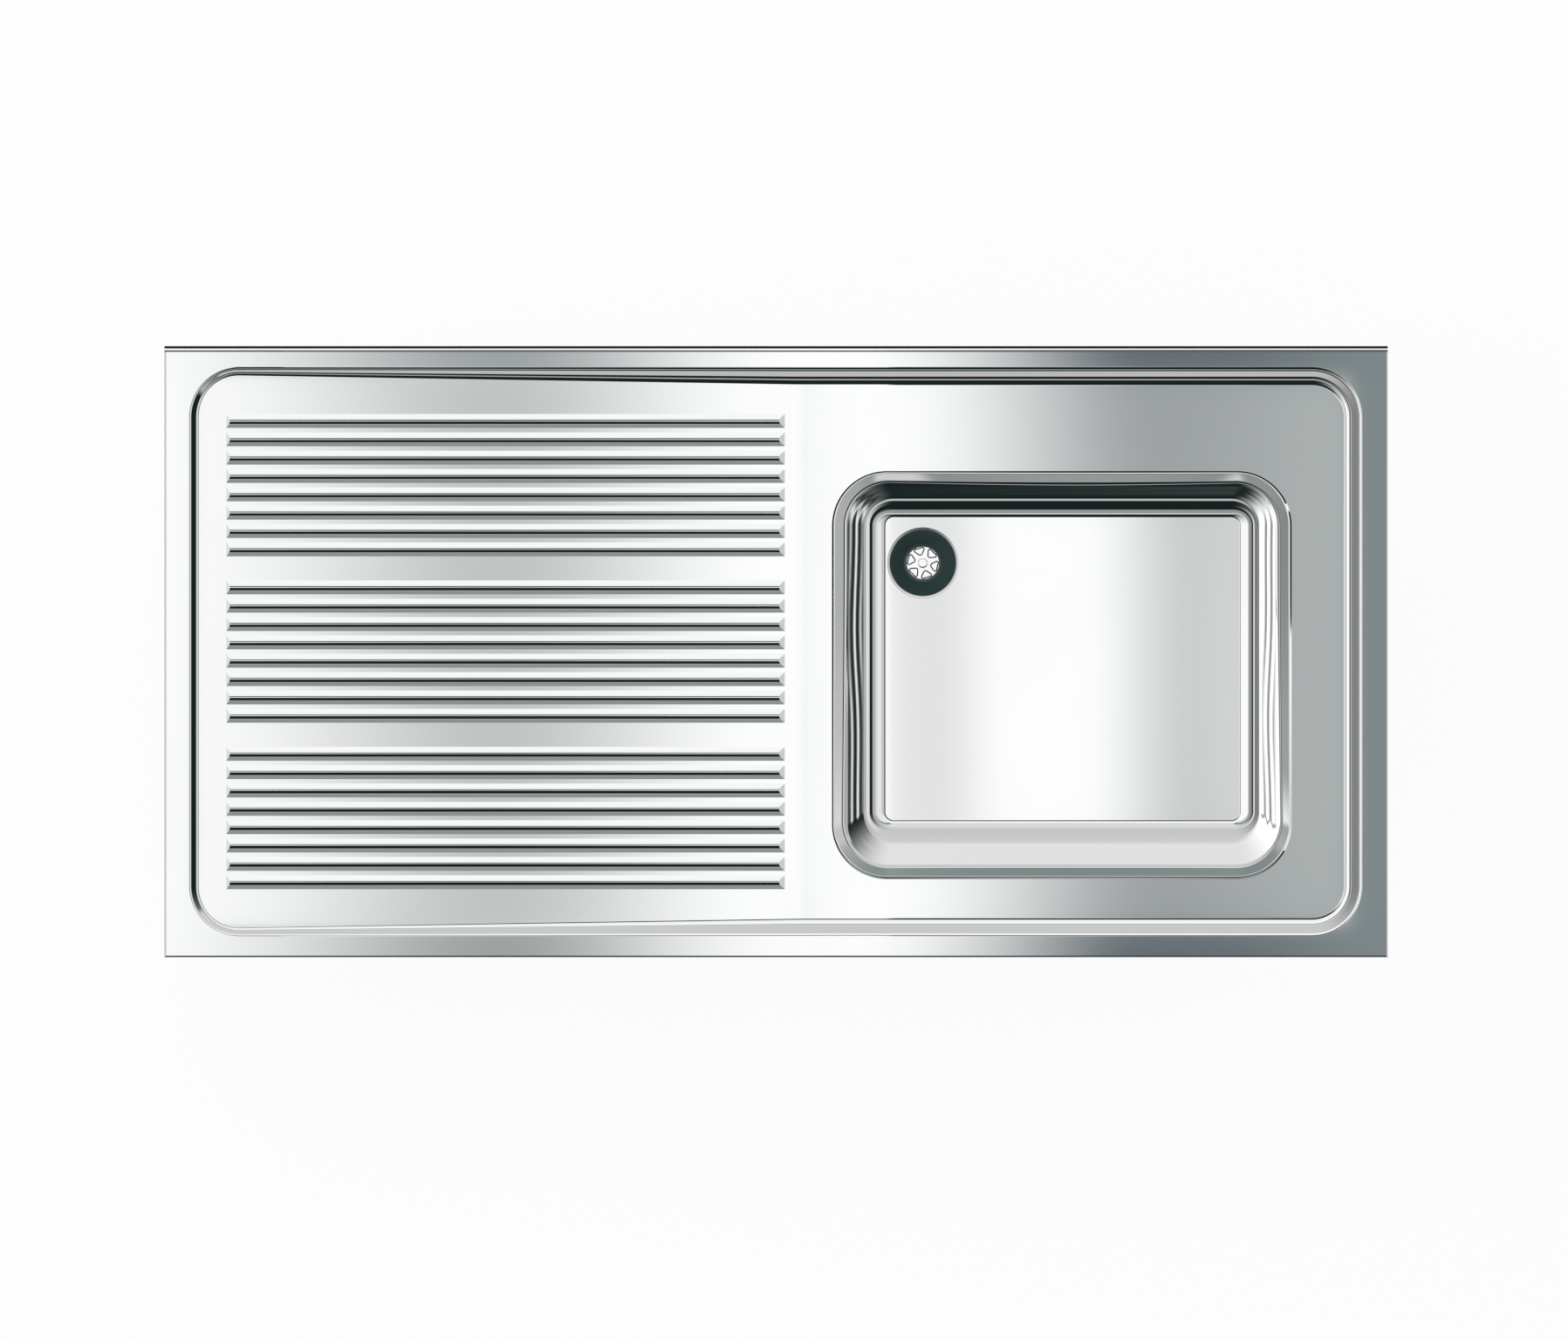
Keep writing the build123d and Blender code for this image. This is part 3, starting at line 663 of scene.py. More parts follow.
def quarter_bend(radius: float, steps: int) -> list[tuple[float, float, float, float]]:
    """Quarter bend from an upright face to a level one.

    Args:
        radius: bend radius.
        steps: steps along it.

    Returns:
        Inset, fall and the outward and upward parts of the normal at each step.
    """
    angles = [QUARTER * step / steps for step in range(steps + 1)]
    return [(radius * (1 - cos(angle)), radius * (1 - sin(angle)), cos(angle), sin(angle))
            for angle in angles]


def stand_section(section: Section, start: Vector, across: Vector, up: Vector) -> list[Place]:
    """Stand a section up in the model.

    Args:
        section: reach, drop and slope angle of each point.
        start: place where reach and drop are zero.
        across: direction of the reach.
        up: direction against the drop.

    Returns:
        Pairs of point and normal.
    """
    return [(start + across * reach - up * drop, across * sin(angle) + up * cos(angle))
            for reach, drop, angle in section]


def sheet_row(places: Sequence[Place], thick: float) -> Row:
    """Closed row whose back lies straight behind the face, its normals squared to the row's own run.

    Args:
        places: points round the row, each with a normal within its own section.
        thick: sheet thickness.

    Returns:
        The row.
    """
    made = []
    for index, (face, guess) in enumerate(places):
        after = places[(index + 1) % len(places)][0]
        run = (after - places[index - 1][0]).normalized()
        normal = (guess - run * guess.dot(run)).normalized()
        made.append(SkinPoint(face, face - normal * thick, normal))
    return made


def level_row(faces: Sequence[Vector], thick: float, normals: Optional[Sequence[Vector]] = None) -> Row:
    """Row whose back lies straight below the face, with upright normals unless others are given."""
    return [SkinPoint(face, face - UP * thick, normal)
            for face, normal in zip(faces, normals or [UP] * len(faces))]


def faces_of(row: Row) -> list[Vector]:
    """Face side of each point of a row."""
    return [point.face for point in row]


def rectangle(left: float, right: float, front: float, rear: float, z: float) -> list[Vector]:
    """Corners of a level rectangle, counter-clockwise from the front left."""
    return [Vector((x, y, z)) for x, y in ((left, front), (right, front), (right, rear), (left, rear))]


@dataclass(frozen=True)
class Outline:
    """Plan rectangle with rounded corners."""

    left: float
    right: float
    front: float
    rear: float
    corner: float

    def walk(self, z: float, steps: int, along_x: Sequence[float], along_y: Sequence[float]) -> list[Place]:
        """Points round the outline, counter-clockwise from above.

        Args:
            z: height of the points.
            steps: steps round each corner.
            along_x: marks between 0 and 1 on the sides along X.
            along_y: marks between 0 and 1 on the sides along Y.

        Returns:
            Pairs of point and inward direction.
        """
        low_x, high_x = self.left + self.corner, self.right - self.corner
        low_y, high_y = self.front + self.corner, self.rear - self.corner
        xs = [mixed(low_x, high_x, mark) for mark in along_x]
        ys = [mixed(low_y, high_y, mark) for mark in along_y]
        made = [(Vector((x, self.front, z)), Vector((0, 1, 0))) for x in xs]
        made += self._arc(Vector((high_x, low_y, z)), -QUARTER, steps)
        made += [(Vector((self.right, y, z)), Vector((-1, 0, 0))) for y in ys]
        made += self._arc(Vector((high_x, high_y, z)), 0.0, steps)
        made += [(Vector((x, self.rear, z)), Vector((0, -1, 0))) for x in reversed(xs)]
        made += self._arc(Vector((low_x, high_y, z)), QUARTER, steps)
        made += [(Vector((self.left, y, z)), Vector((1, 0, 0))) for y in reversed(ys)]
        made += self._arc(Vector((low_x, low_y, z)), pi, steps)
        return made

    def _arc(self, centre: Vector, start: float, steps: int) -> list[Place]:
        """Points and inward directions round one corner, from a start angle."""
        outs = [heading(start + QUARTER * step / steps) for step in range(steps + 1)]
        return [(centre + out * self.corner, -out) for out in outs]


@dataclass(frozen=True)
class BowlForm:
    """Shape of the bowl's wall, shared by the top's collar and the bowl below the weld."""

    left: float
    right: float
    front: float
    rear: float
    deck_z: float
    depth: float = 250 * MM
    corner: float = 46 * MM
    floor_corner: float = 33 * MM
    run_left: float = 22.5 * MM
    run_right: float = 21 * MM
    run_front: float = 30 * MM
    run_rear: float = 12.7 * MM
    roll: float = 17.5 * MM
    collar: float = 5 * MM
    seam_fall: float = 2 * MM
    seam_rise: float = 0.9 * MM
    seam_slope: float = radians(11)
    mouth_slope: float = radians(38)
    mouth_bend: float = 1.2 * MM
    mouth_plain: float = 11.5 * MM
    floor_bend: float = 25 * MM
    crease_round: float = 7 * MM
    crease_angle: float = radians(14)
    crease_angle_front: float = radians(41)
    crease_angle_rear: float = radians(31)
    crease_steps: int = 8
    sheet: float = 1.2 * MM
    corner_steps: int = 28
    side_steps: int = 16
    bend_steps: int = 20

    @property
    def floor_z(self) -> float:
        """Height of the bowl floor."""
        return self.deck_z - self.depth

    @property
    def weld_z(self) -> float:
        """Height where the collar meets the drawn bowl."""
        return self.deck_z - self.roll - self.collar

    def walk(self, z: float) -> list[Place]:
        """Points round the plain wall.

        Args:
            z: height of the points.

        Returns:
            Pairs of point and inward direction.
        """
        share = (self.deck_z - z) / self.depth
        outline = Outline(
            self.left + self.run_left * share,
            self.right - self.run_right * share,
            self.front + self.run_front * share,
            self.rear - self.run_rear * share,
            mixed(self.corner, self.floor_corner, share),
        )
        return outline.walk(z, self.corner_steps, spread(self.side_steps), spread(self.side_steps))

    def falls(self) -> list[Vector]:
        """Direction down the wall at each point."""
        tops, lows = self.walk(self.deck_z), self.walk(self.floor_z)
        return [(low[0] - top[0]).normalized() for top, low in zip(tops, lows)]

    def wall_row(self, z: float) -> Row:
        """Row round the plain wall at a height."""
        pairs = zip(self.walk(z), self.falls())
        return sheet_row([(point, way - fall * way.dot(fall)) for (point, way), fall in pairs], self.sheet)

    def roll_section(self, steepness: float) -> Section:
        """Section of the rolled mouth: dressed seam, tight bend, plain slope and bend into the wall.

        Args:
            steepness: angle of the wall below the level.

        Returns:
            Inward reach, drop and slope angle from the deck to the wall.
        """
        slope = self.mouth_slope
        depth = self.seam_fall * tan(self.seam_slope)
        climb = -atan2(depth, self.seam_rise)
        width = self.seam_fall + self.seam_rise
        made = [(0.0, 0.0, 0.0), (0.0, 0.0, self.seam_slope), (self.seam_fall, depth, self.seam_slope),
                (self.seam_fall, depth, climb), (width, 0.0, climb)]
        made += bend_run(width, 0.0, self.mouth_bend, 0.0, slope, self.bend_steps)
        x = made[-1][0] + self.mouth_plain * cos(slope)
        z = made[-1][1] + self.mouth_plain * sin(slope)
        wide = wall_bend(self.roll * tan(steepness / 2), steepness, x, z, slope)
        return made + bend_run(x, z, wide, slope, steepness, self.bend_steps)

    def roll_rows(self) -> list[Row]:
        """Rows over the rolled mouth.

        Returns:
            The rows, from the deck down to the wall.
        """
        sections = []
        for (corner, inward), fall in zip(self.walk(self.deck_z), self.falls()):
            steepness = inward.angle(fall)
            start = corner - inward * self.roll * tan(steepness / 2)
            across = (fall - UP * fall.z).normalized()
            sections.append(stand_section(self.roll_section(steepness), start, across, UP))
        rows = [sheet_row(row, self.sheet) for row in zip(*sections)]
        rows[0] = level_row(faces_of(rows[0]), self.sheet)
        return rows

    def bend_section(self, steepness: float, crease: float) -> Section:
        """Section of the floor bend: a wide bend out of the wall, then a tight one at the floor's edge.

        Args:
            steepness: angle of the wall above the level.
            crease: angle at which the tight bend starts.

        Returns:
            Outward reach, drop and slope angle, the last two below zero, from the wall to the floor.
        """
        tight = bend_run(0.0, 0.0, -self.crease_round, 0.0, -crease, self.crease_steps)
        x, z, _ = tight[-1]
        wide = wall_bend(self.floor_bend * tan(steepness / 2), steepness, x, -z, crease)
        return (tight + bend_run(x, z, -wide, -crease, -steepness, self.bend_steps)[1:])[::-1]

    def floor_bend_rows(self) -> list[Row]:
        """Rows round the bend between wall and floor.

        Returns:
            The rows, from the wall to the floor.
        """
        sections = []
        for (corner, inward), fall in zip(self.walk(self.floor_z), self.falls()):
            steepness = inward.angle(fall)
            edge = corner + inward * self.floor_bend * tan(steepness / 2)
            lift = (inward * inward.dot(fall) - fall).normalized()
            most = self.crease_angle_front if inward.y > 0 else self.crease_angle_rear
            crease = mixed(self.crease_angle, most, inward.y ** 2)
            sections.append(stand_section(self.bend_section(steepness, crease), edge, -inward, lift))
        rows = [sheet_row(row, self.sheet) for row in zip(*sections)]
        rows[-1] = level_row(faces_of(rows[-1]), self.sheet)
        return rows


@dataclass
class SinkTop:
    """Pressed top: rim, rear upstand, stepped recess, ridged drainer, bowl collar, aprons and seat lip."""

    low: Vector
    high: Vector
    seat_z: float = 0.0
    sheet: float = 1.2 * MM
    edge_bend: float = 2 * MM
    seat_lip: float = 15 * MM
    upstand_thick: float = 7 * MM
    upstand_height: float = 20 * MM
    hem_edge: float = 0.5 * MM
    hem_front: float = 1.4 * MM
    hem_rear: float = 2.6 * MM
    hem_depth: float = 0.6 * MM
    rim_left: float = 28 * MM
    rim_right: float = 29 * MM
    rim_front: float = 24 * MM
    rim_rear: float = 24 * MM
    recess_corner: float = 58 * MM
    slope_from_left: float = 31.7 * MM
    drop_left: float = 8 * MM
    drop_bowl: float = 20 * MM
    step_slope: float = radians(62)
    step_slope_left: float = radians(46)
    edge_round_left: float = 4 * MM
    edge_round_bowl: float = 6 * MM
    foot_round_left: float = 5 * MM
    foot_round_bowl: float = 12 * MM
    break_gap: float = 14 * MM
    break_reach: float = 8 * MM
    break_shares: tuple[float, ...] = (-1, -0.5, 0, 0.5, 1)
    bowl_length: float = 494 * MM
    bowl_from_right: float = 126 * MM
    bowl_from_rear: float = 160 * MM
    bowl_from_front: float = 105 * MM
    rib_from_left: float = 71 * MM
    rib_from_edge: float = 86 * MM
    rib_bowl_gap: float = 70 * MM
    rib_groups: int = 3
    ribs_each: int = 8
    rib_pitch: float = 21 * MM
    rib_width: float = 16 * MM
    rib_rise: float = 5.6 * MM
    rib_crest: float = 7 * MM
    rib_hip_left: float = 0.93
    rib_hip_right: float = 1.6
    marks_x: int = 16
    marks_y: int = 9
    corner_steps: int = 30
    step_steps: int = 18
    crest_steps: int = 14
    edge_steps: int = 6
    settling_rounds: int = 20

    def __post_init__(self) -> None:
        """Work out the heights and the bowl's form."""
        self.rim_z = self.high.z - self.upstand_height
        self.deck_z = self.rim_z - self.drop_bowl
        right = self.high.x - self.bowl_from_right
        self.bowl = BowlForm(
            right - self.bowl_length,
            right,
            self.low.y + self.bowl_from_front,
            self.high.y - self.bowl_from_rear,
            self.deck_z,
        )
        self.rib_start = self.low.x + self.rib_from_left
        self.rib_end = self.bowl.left - self.rib_bowl_gap
        self.slope_start = self.low.x + self.slope_from_left
        self.break_x = self.rib_end + self.break_gap
        self.fall = (self.drop_bowl - self.drop_left) / (self.break_x - self.slope_start)

    def floor_z(self, x: float) -> float:
        """Height of the recess floor: slope, soft break and level part.

        Args:
            x: place along the top.

        Returns:
            The height.
        """
        ahead = self.break_x + self.break_reach - x
        if ahead <= 0:
            return self.deck_z
        if ahead >= 2 * self.break_reach:
            return self.deck_z + self.fall * (self.break_x - x)
        return self.deck_z + self.fall * ahead * ahead / (4 * self.break_reach)

    def floor_fall(self, x: float) -> float:
        """Downward slope of the recess floor at x."""
        ahead = self.break_x + self.break_reach - x
        return self.fall * min(max(ahead / (2 * self.break_reach), 0), 1)

    def floor_normal(self, x: float) -> Vector:
        """Normal of the recess floor at x."""
        return Vector((self.floor_fall(x), 0, 1)).normalized()

    def break_marks(self) -> list[float]:
        """X of the lines across the soft break of the floor."""
        return [self.break_x + self.break_reach * share for share in self.break_shares]

    def step_rows(self) -> list[Row]:
        """Rows down the stepped wall of the recess.

        Returns:
            The rows, from the rim to the floor.
        """
        outline = Outline(
            self.low.x + self.rim_left,
            self.high.x - self.rim_right,
            self.low.y + self.rim_front,
            self.high.y - self.rim_rear,
            self.recess_corner,
        )
        start = outline.left + outline.corner
        length = outline.right - outline.corner - start
        marks = sorted(spread(self.marks_x) + [(x - start) / length for x in self.break_marks()])
        places = outline.walk(self.rim_z, self.corner_steps, marks, spread(self.marks_y))
        sections = [stand_section(self._step_section(point, inward), point, inward, UP)
                    for point, inward in places]
        rows = [sheet_row(row, self.sheet) for row in zip(*sections)]
        rows[0] = level_row(faces_of(rows[0]), self.sheet)
        floor = [Vector((face.x, face.y, self.floor_z(face.x))) for face in faces_of(rows[-1])]
        rows[-1] = level_row(floor, self.sheet, [self.floor_normal(face.x) for face in floor])
        return rows

    def _step_section(self, point: Vector, inward: Vector) -> Section:
        """Section of the step at one place of the outline.

        Args:
            point: place on the rim where the step starts.
            inward: direction into the recess.

        Returns:
            Inward reach, drop and slope angle from the rim to the floor.
        """
        slope = mixed(self.step_slope, self.step_slope_left, max(inward.x, 0) ** 2)
        share = (self.rim_z - self.floor_z(point.x) - self.drop_left) / (self.drop_bowl - self.drop_left)
        share = min(max(share, 0), 1)
        edge = mixed(self.edge_round_left, self.edge_round_bowl, share)
        foot = mixed(self.foot_round_left, self.foot_round_bowl, share)
        end_slope = atan(self.floor_fall(point.x) * inward.x)
        rounds_drop = edge * (1 - cos(slope)) + foot * (cos(end_slope) - cos(slope))
        rounds_reach = edge * sin(slope) + foot * (sin(slope) - sin(end_slope))
        reach = rounds_reach
        for _ in range(self.settling_rounds):
            drop = self.rim_z - self.floor_z(point.x + inward.x * reach)
            plain = (drop - rounds_drop) / sin(slope)
            reach = rounds_reach + plain * cos(slope)
        made = bend_run(0.0, 0.0, edge, 0.0, slope, self.step_steps)
        x = made[-1][0] + plain * cos(slope)
        z = made[-1][1] + plain * sin(slope)
        return made + bend_run(x, z, -foot, slope, end_slope, self.step_steps)

    def rib_rows(self) -> list[float]:
        """Y of every ridge.

        Returns:
            The places, group by group.
        """
        field = (self.high.y - self.low.y) - 2 * self.rib_from_edge
        span = (self.ribs_each - 1) * self.rib_pitch
        pitch = (field - span) / (self.rib_groups - 1)
        first = self.low.y + self.rib_from_edge
        return [first + group * pitch + row * self.rib_pitch
                for group in range(self.rib_groups) for row in range(self.ribs_each)]

    def rib_section(self) -> Section:
        """Section of a ridge.

        Returns:
            Place across, height and slope angle of each point.
        """
        half = self.rib_width / 2
        slope = atan2(self.rib_rise, half)
        centre = self.rib_rise - self.rib_crest / cos(slope)
        angles = [slope * (2 * step / self.crest_steps - 1) for step in range(self.crest_steps + 1)]
        crest = [(self.rib_crest * sin(angle), centre + self.rib_crest * cos(angle), angle)
                 for angle in angles]
        return [(-half, 0.0, -slope), *crest, (half, 0.0, slope)]

    def add_rib(self, skin: SheetSkin, y: float) -> list[Vector]:
        """Add one ridge to the skin.

        Args:
            skin: skin that the ridge is added to.
            y: place of the ridge.

        Returns:
            Corners of its footprint, round it in order.
        """
        lean = atan(self.fall)
        along = Vector((cos(lean), 0, -sin(lean)))
        rise = Vector((sin(lean), 0, cos(lean)))
        base = Vector((self.rib_start, y, self.floor_z(self.rib_start)))
        length = (self.rib_end - self.rib_start) / cos(lean)
        starts, ends = [], []
        for across, height, angle in self.rib_section():
            normal = Vector((0, sin(angle), 0)) + rise * cos(angle)
            reaches = (height * self.rib_hip_left, length - height * self.rib_hip_right)
            for row, reach in zip((starts, ends), reaches):
                face = base + along * reach + Vector((0, across, 0)) + rise * height
                row.append(SkinPoint(face, face - UP * self.sheet, normal))
        for index in range(len(starts) - 1):
            skin.sheet([starts[index], ends[index], ends[index + 1], starts[index + 1]])
        for row, facing, run in ((starts, -1, self.rib_hip_left), (ends, 1, self.rib_hip_right)):
            hip = (along * facing + rise * run).normalized()
            skin.sheet([SkinPoint(point.face, point.back, hip) for point in row])
        return [starts[0].face, ends[0].face, ends[-1].face, starts[-1].face]

    def add_floor(self, skin: SheetSkin, outer: Row, mouth: Row) -> None:
        """Add the ridges and the recess floor.

        Args:
            skin: skin that they are added to.
            outer: row at the foot of the step.
            mouth: row at the bowl's mouth.
        """
        outline = faces_of(outer)
        loops = [outline, faces_of(mouth)]
        loops += [self.add_rib(skin, y) for y in self.rib_rows()]
        lines = []
        for x in self.break_marks():
            ends = [number for number, point in enumerate(outline) if abs(point.x - x) < SheetSkin.GRID]
            lines.append((ends[0], ends[1]))
        for corners in fill_plan(loops, lines):
            skin.sheet(level_row(corners, self.sheet, [self.floor_normal(corner.x) for corner in corners]))

    def add_rim(self, skin: SheetSkin, inner: Row) -> None:
        """Add the flat rim between its edge bends, the upstand and the recess, face and back.

        Args:
            skin: skin that it is added to.
            inner: row at the head of the step.
        """
        left, right = self.low.x + self.edge_bend, self.high.x - self.edge_bend
        for back, normal in ((0.0, UP), (self.sheet, -UP)):
            rear = self.high.y - self.upstand_thick + back
            outline = rectangle(left, right, self.low.y + self.edge_bend, rear, self.rim_z - back)
            hole = [point.back if back else point.face for point in inner]
            for corners in fill_plan([outline, hole]):
                skin.face(corners, normal)

    def add_edges(self, skin: SheetSkin, back: float) -> None:
        """Add aprons, edge bends and the folded upstand.

        Args:
            skin: skin that the faces are added to.
            back: 0 for the outside, the sheet's thickness for the inside.
        """
        facing = -1 if back else 1
        x0, x1 = self.low.x + back, self.high.x - back
        y0, y1 = self.low.y + back, self.high.y - back
        up_y = self.high.y - self.upstand_thick + back
        low, rim, top = self.seat_z + back, self.rim_z - back, self.high.z - back
        bend = self.edge_bend - back

        def face(corners: Iterable[Sequence[float]], *normals: Sequence[float]) -> None:
            """Add a face by plain coordinates, turned inside out on the back."""
            turned = [Vector(normal).normalized() * facing for normal in normals]
            skin.face([Vector(corner) for corner in corners], turned[0] if len(turned) == 1 else turned)

        face([(x0, y0, low), (x1, y0, low), (x1, y0, rim - bend), (x0, y0, rim - bend)], (0, -1, 0))
        hem = self._hem(up_y, y1, top, bend)
        face([(x0, y1, low), (x1, y1, low), (x1, *hem[-1][1]), (x0, *hem[-1][1])], (0, 1, 0))
        for start, end, near, far in hem:
            face([(x0, *start), (x1, *start), (x1, *end), (x0, *end)], near, near, far, far)
        arc = quarter_bend(bend, self.edge_steps)
        bends = []
        for inset, fall, out, lift in arc:
            left, right, front, z = x0 + inset, x1 - inset, y0 + inset, rim - fall
            bends.append((
                ((left, front, z), (right, front, z), (0, -out, lift)),
                ((left, front, z), (left, up_y, z), (-out, 0, lift)),
                ((right, front, z), (right, up_y, z), (out, 0, lift)),
            ))
        for lines in zip(*bends):
            for (start, end, near), (next_start, next_end, far) in zip(lines, lines[1:]):
                face([start, end, next_end, next_start], near, near, far, far)
        for x, side in ((x0, -1), (x1, 1)):
            cheek = [(x, y0, low), (x, y1, low)]
            cheek += [(x, *end) for _, end, _, _ in reversed(hem)]
            cheek += [(x, *hem[0][0]), (x, up_y, rim - bend), (x, y0, rim - bend)]
            face(cheek, (side, 0, 0))
        shoulder = [(x0 + inset, up_y, rim - fall) for inset, fall, _, _ in arc]
        shoulder += [(x1 - inset, up_y, rim - fall) for inset, fall, _, _ in reversed(arc)]
        face(shoulder + [(x1, *hem[0][0]), (x0, *hem[0][0])], (0, -1, 0))

    def _hem(self, front: float, rear: float, top: float, bend: float) -> list[HemStrip]:
        """Strips over the folded upstand, from its front face to its rear face.

        Args:
            front: Y of the front face.
            rear: Y of the rear face.
            top: height of the fold.
            bend: radius of the front bend.

        Returns:
            Start and end of each strip as (Y, Z), with the normals there.
        """
        strips = []
        for edge, side, radius in ((front, 1, bend), (rear, -1, self.hem_edge)):
            arc = [((edge + side * inset, top - fall), (0, -side * out, lift))
                   for inset, fall, out, lift in quarter_bend(radius, self.edge_steps)]
            strips.append([(near[0], far[0], near[1], far[1]) for near, far in zip(arc, arc[1:])])
        before, after = strips
        after = [(end, start, far, near) for start, end, near, far in reversed(after)]
        ridge = after[0][0]
        brink = (ridge[0] - self.hem_rear - self.hem_front, top)
        valley = (ridge[0] - self.hem_rear, top - self.hem_depth)
        down = (0, self.hem_depth, self.hem_front)
        rise = (0, -self.hem_depth, self.hem_rear)
        level = (0, 0, 1)
        flat = (before[-1][1], brink, level, level)
        groove = [(brink, valley, down, down), (valley, ridge, rise, rise)]
        return before + [flat] + groove + after

    def add_lip(self, skin: SheetSkin) -> None:
        """Add the seat lip turned in under the aprons.

        Args:
            skin: skin that it is added to.
        """
        def loop(inset: float, z: float) -> list[Vector]:
            """Corners of the seat rectangle at an inset."""
            low, high = self.low, self.high
            return rectangle(low.x + inset, high.x - inset, low.y + inset, high.y - inset, z)

        outside, tip = loop(0, self.seat_z), loop(self.seat_lip, self.seat_z)
        tip_top = loop(self.seat_lip, self.seat_z + self.sheet)
        inside = loop(self.sheet, self.seat_z + self.sheet)
        for index in range(len(tip)):
            after = (index + 1) % len(tip)
            inward = UP.cross(tip[after] - tip[index]).normalized()
            for near, far, normal in ((outside, tip, -UP), (inside, tip_top, UP), (tip, tip_top, inward)):
                skin.face([near[index], near[after], far[after], far[index]], normal)

    def build(self) -> Piece:
        """Model the whole top as one welded sheet.

        Returns:
            The top.
        """
        skin = SheetSkin()
        steps = self.step_rows()
        rolls = self.bowl.roll_rows() + [self.bowl.wall_row(self.bowl.weld_z)]
        skin.band(steps)
        skin.band(rolls)
        skin.cut_edge(rolls[-1], [-UP] * len(rolls[-1]))
        self.add_rim(skin, steps[0])
        self.add_floor(skin, steps[-1], rolls[0])
        self.add_edges(skin, 0.0)
        self.add_edges(skin, self.sheet)
        self.add_lip(skin)
        return skin.piece("top_sheet")


@dataclass
class DrawnBowl:
    """Deep drawn bowl below the weld, with the pressed dish that takes the waste."""

    form: BowlForm
    waste_from_left: float = 88 * MM
    waste_from_rear: float = 88.5 * MM
    dish_depth: float = 5 * MM
    dish_radius: float = 38.6 * MM
    dish_bend: float = 2.2 * MM
    dish_root: float = 1.6 * MM
    hole_radius: float = 26 * MM
    wave_height: float = 0.066 * MM
    waves: float = 2.6
    wave_drift: float = 0.3
    slow_x: float = 1.7
    slow_y: float = 2.3
    quick_x: float = 4.1
    quick_y: float = -5.3
    quick_share: float = 0.4
    wall_rows: int = 48
    round_steps: int = 96
    bend_steps: int = 8

    @property
    def waste(self) -> Vector:
        """Middle of the waste on the bowl floor."""
        x = self.form.left + self.waste_from_left
        return Vector((x, self.form.rear - self.waste_from_rear, self.form.floor_z))

    def dish_rows(self) -> list[Row]:
        """Rows from the floor down into the dish and in to the waste hole.

        Returns:
            The rows, from the floor to the hole.
        """
        rim = self.dish_radius + self.dish_bend
        root_z = self.dish_depth - self.dish_root
        section = bend_run(0.0, 0.0, self.dish_bend, 0.0, QUARTER, self.bend_steps)
        section += bend_run(self.dish_bend, root_z, -self.dish_root, QUARTER, 0.0, self.bend_steps)
        section.append((rim - self.hole_radius, self.dish_depth, 0.0))
        outs = [heading(FULL_TURN * step / self.round_steps) for step in range(self.round_steps)]
        sections = [stand_section(section, self.waste + out * rim, -out, UP) for out in outs]
        return [[SkinPoint(face, face - normal * self.form.sheet, normal) for face, normal in row]
                for row in zip(*sections)]

    def wavy_rows(self, top: Row, low: Row) -> list[Row]:
        """Rows of the wall between weld and floor bend, with the faint waves that drawing leaves.

        Args:
            top: row at the weld.
            low: row where the floor bend starts.

        Returns:
            The rows between the two.
        """
        rows = []
        for step in range(1, self.wall_rows):
            share = step / self.wall_rows
            height = self.wave_height * sin(pi * share)
            row = []
            for start, end in zip(top, low):
                x, y = start.face.x, start.face.y
                slow = sin(FULL_TURN * (self.slow_x * x + self.slow_y * y))
                quick = sin(FULL_TURN * (self.quick_x * x + self.quick_y * y))
                drift = self.wave_drift * (slow + self.quick_share * quick)
                phase = FULL_TURN * (self.waves * share + drift)
                run = end.face - start.face
                tilt = height * cos(phase) * FULL_TURN * self.waves / run.length
                normal = (start.normal - run / run.length * tilt).normalized()
                offset = start.normal * (height * sin(phase))
                face, back = start.face.lerp(end.face, share), start.back.lerp(end.back, share)
                row.append(SkinPoint(face + offset, back + offset, normal))
            rows.append(row)
        return rows

    def build(self) -> Piece:
        """Model the bowl as one welded sheet.

        Returns:
            The bowl.
        """
        form = self.form
        skin = SheetSkin()
        bend = form.floor_bend_rows()
        top = form.wall_row(form.weld_z)
        skin.band([top] + self.wavy_rows(top, bend[0]) + bend)
        skin.cut_edge(top, [UP] * len(top))
        dish = self.dish_rows()
        skin.band(dish)
        ways = [self.waste - point.face for point in dish[-1]]
        skin.cut_edge(dish[-1], [Vector((way.x, way.y, 0)).normalized() for way in ways])
        for corners in fill_plan([faces_of(bend[-1]), faces_of(dish[0])]):
            skin.sheet(level_row(corners, form.sheet))
        return skin.piece("bowl_sheet")


# Pieces shaped one by one

NODE_WELD = 0.002 * MM
NODE_FLAT = radians(0.6)
TURN_WELD = 0.001 * MM
EASING_LIMIT = radians(32)
FLAT_WEIGHT = 90
SMOOTH_LIMIT = radians(40)


def start_clean() -> None:
    """Leave edit mode and select nothing."""
    if bpy.context.object is not None and bpy.context.object.mode != "OBJECT":
        bpy.ops.object.mode_set(mode="OBJECT")
    bpy.ops.object.select_all(action="DESELECT")


def choose(piece: Piece) -> None:
    """Make a piece the only selected and active object.

    Args:
        piece: the piece.
    """
    start_clean()
    piece.select_set(True)
    bpy.context.view_layer.objects.active = piece


@contextmanager
def editing() -> Iterator[None]:
    """Edit mode on the active piece, with all of it selected."""
    bpy.ops.object.mode_set(mode="EDIT")
    bpy.ops.mesh.select_all(action="SELECT")
    yield
    bpy.ops.object.mode_set(mode="OBJECT")


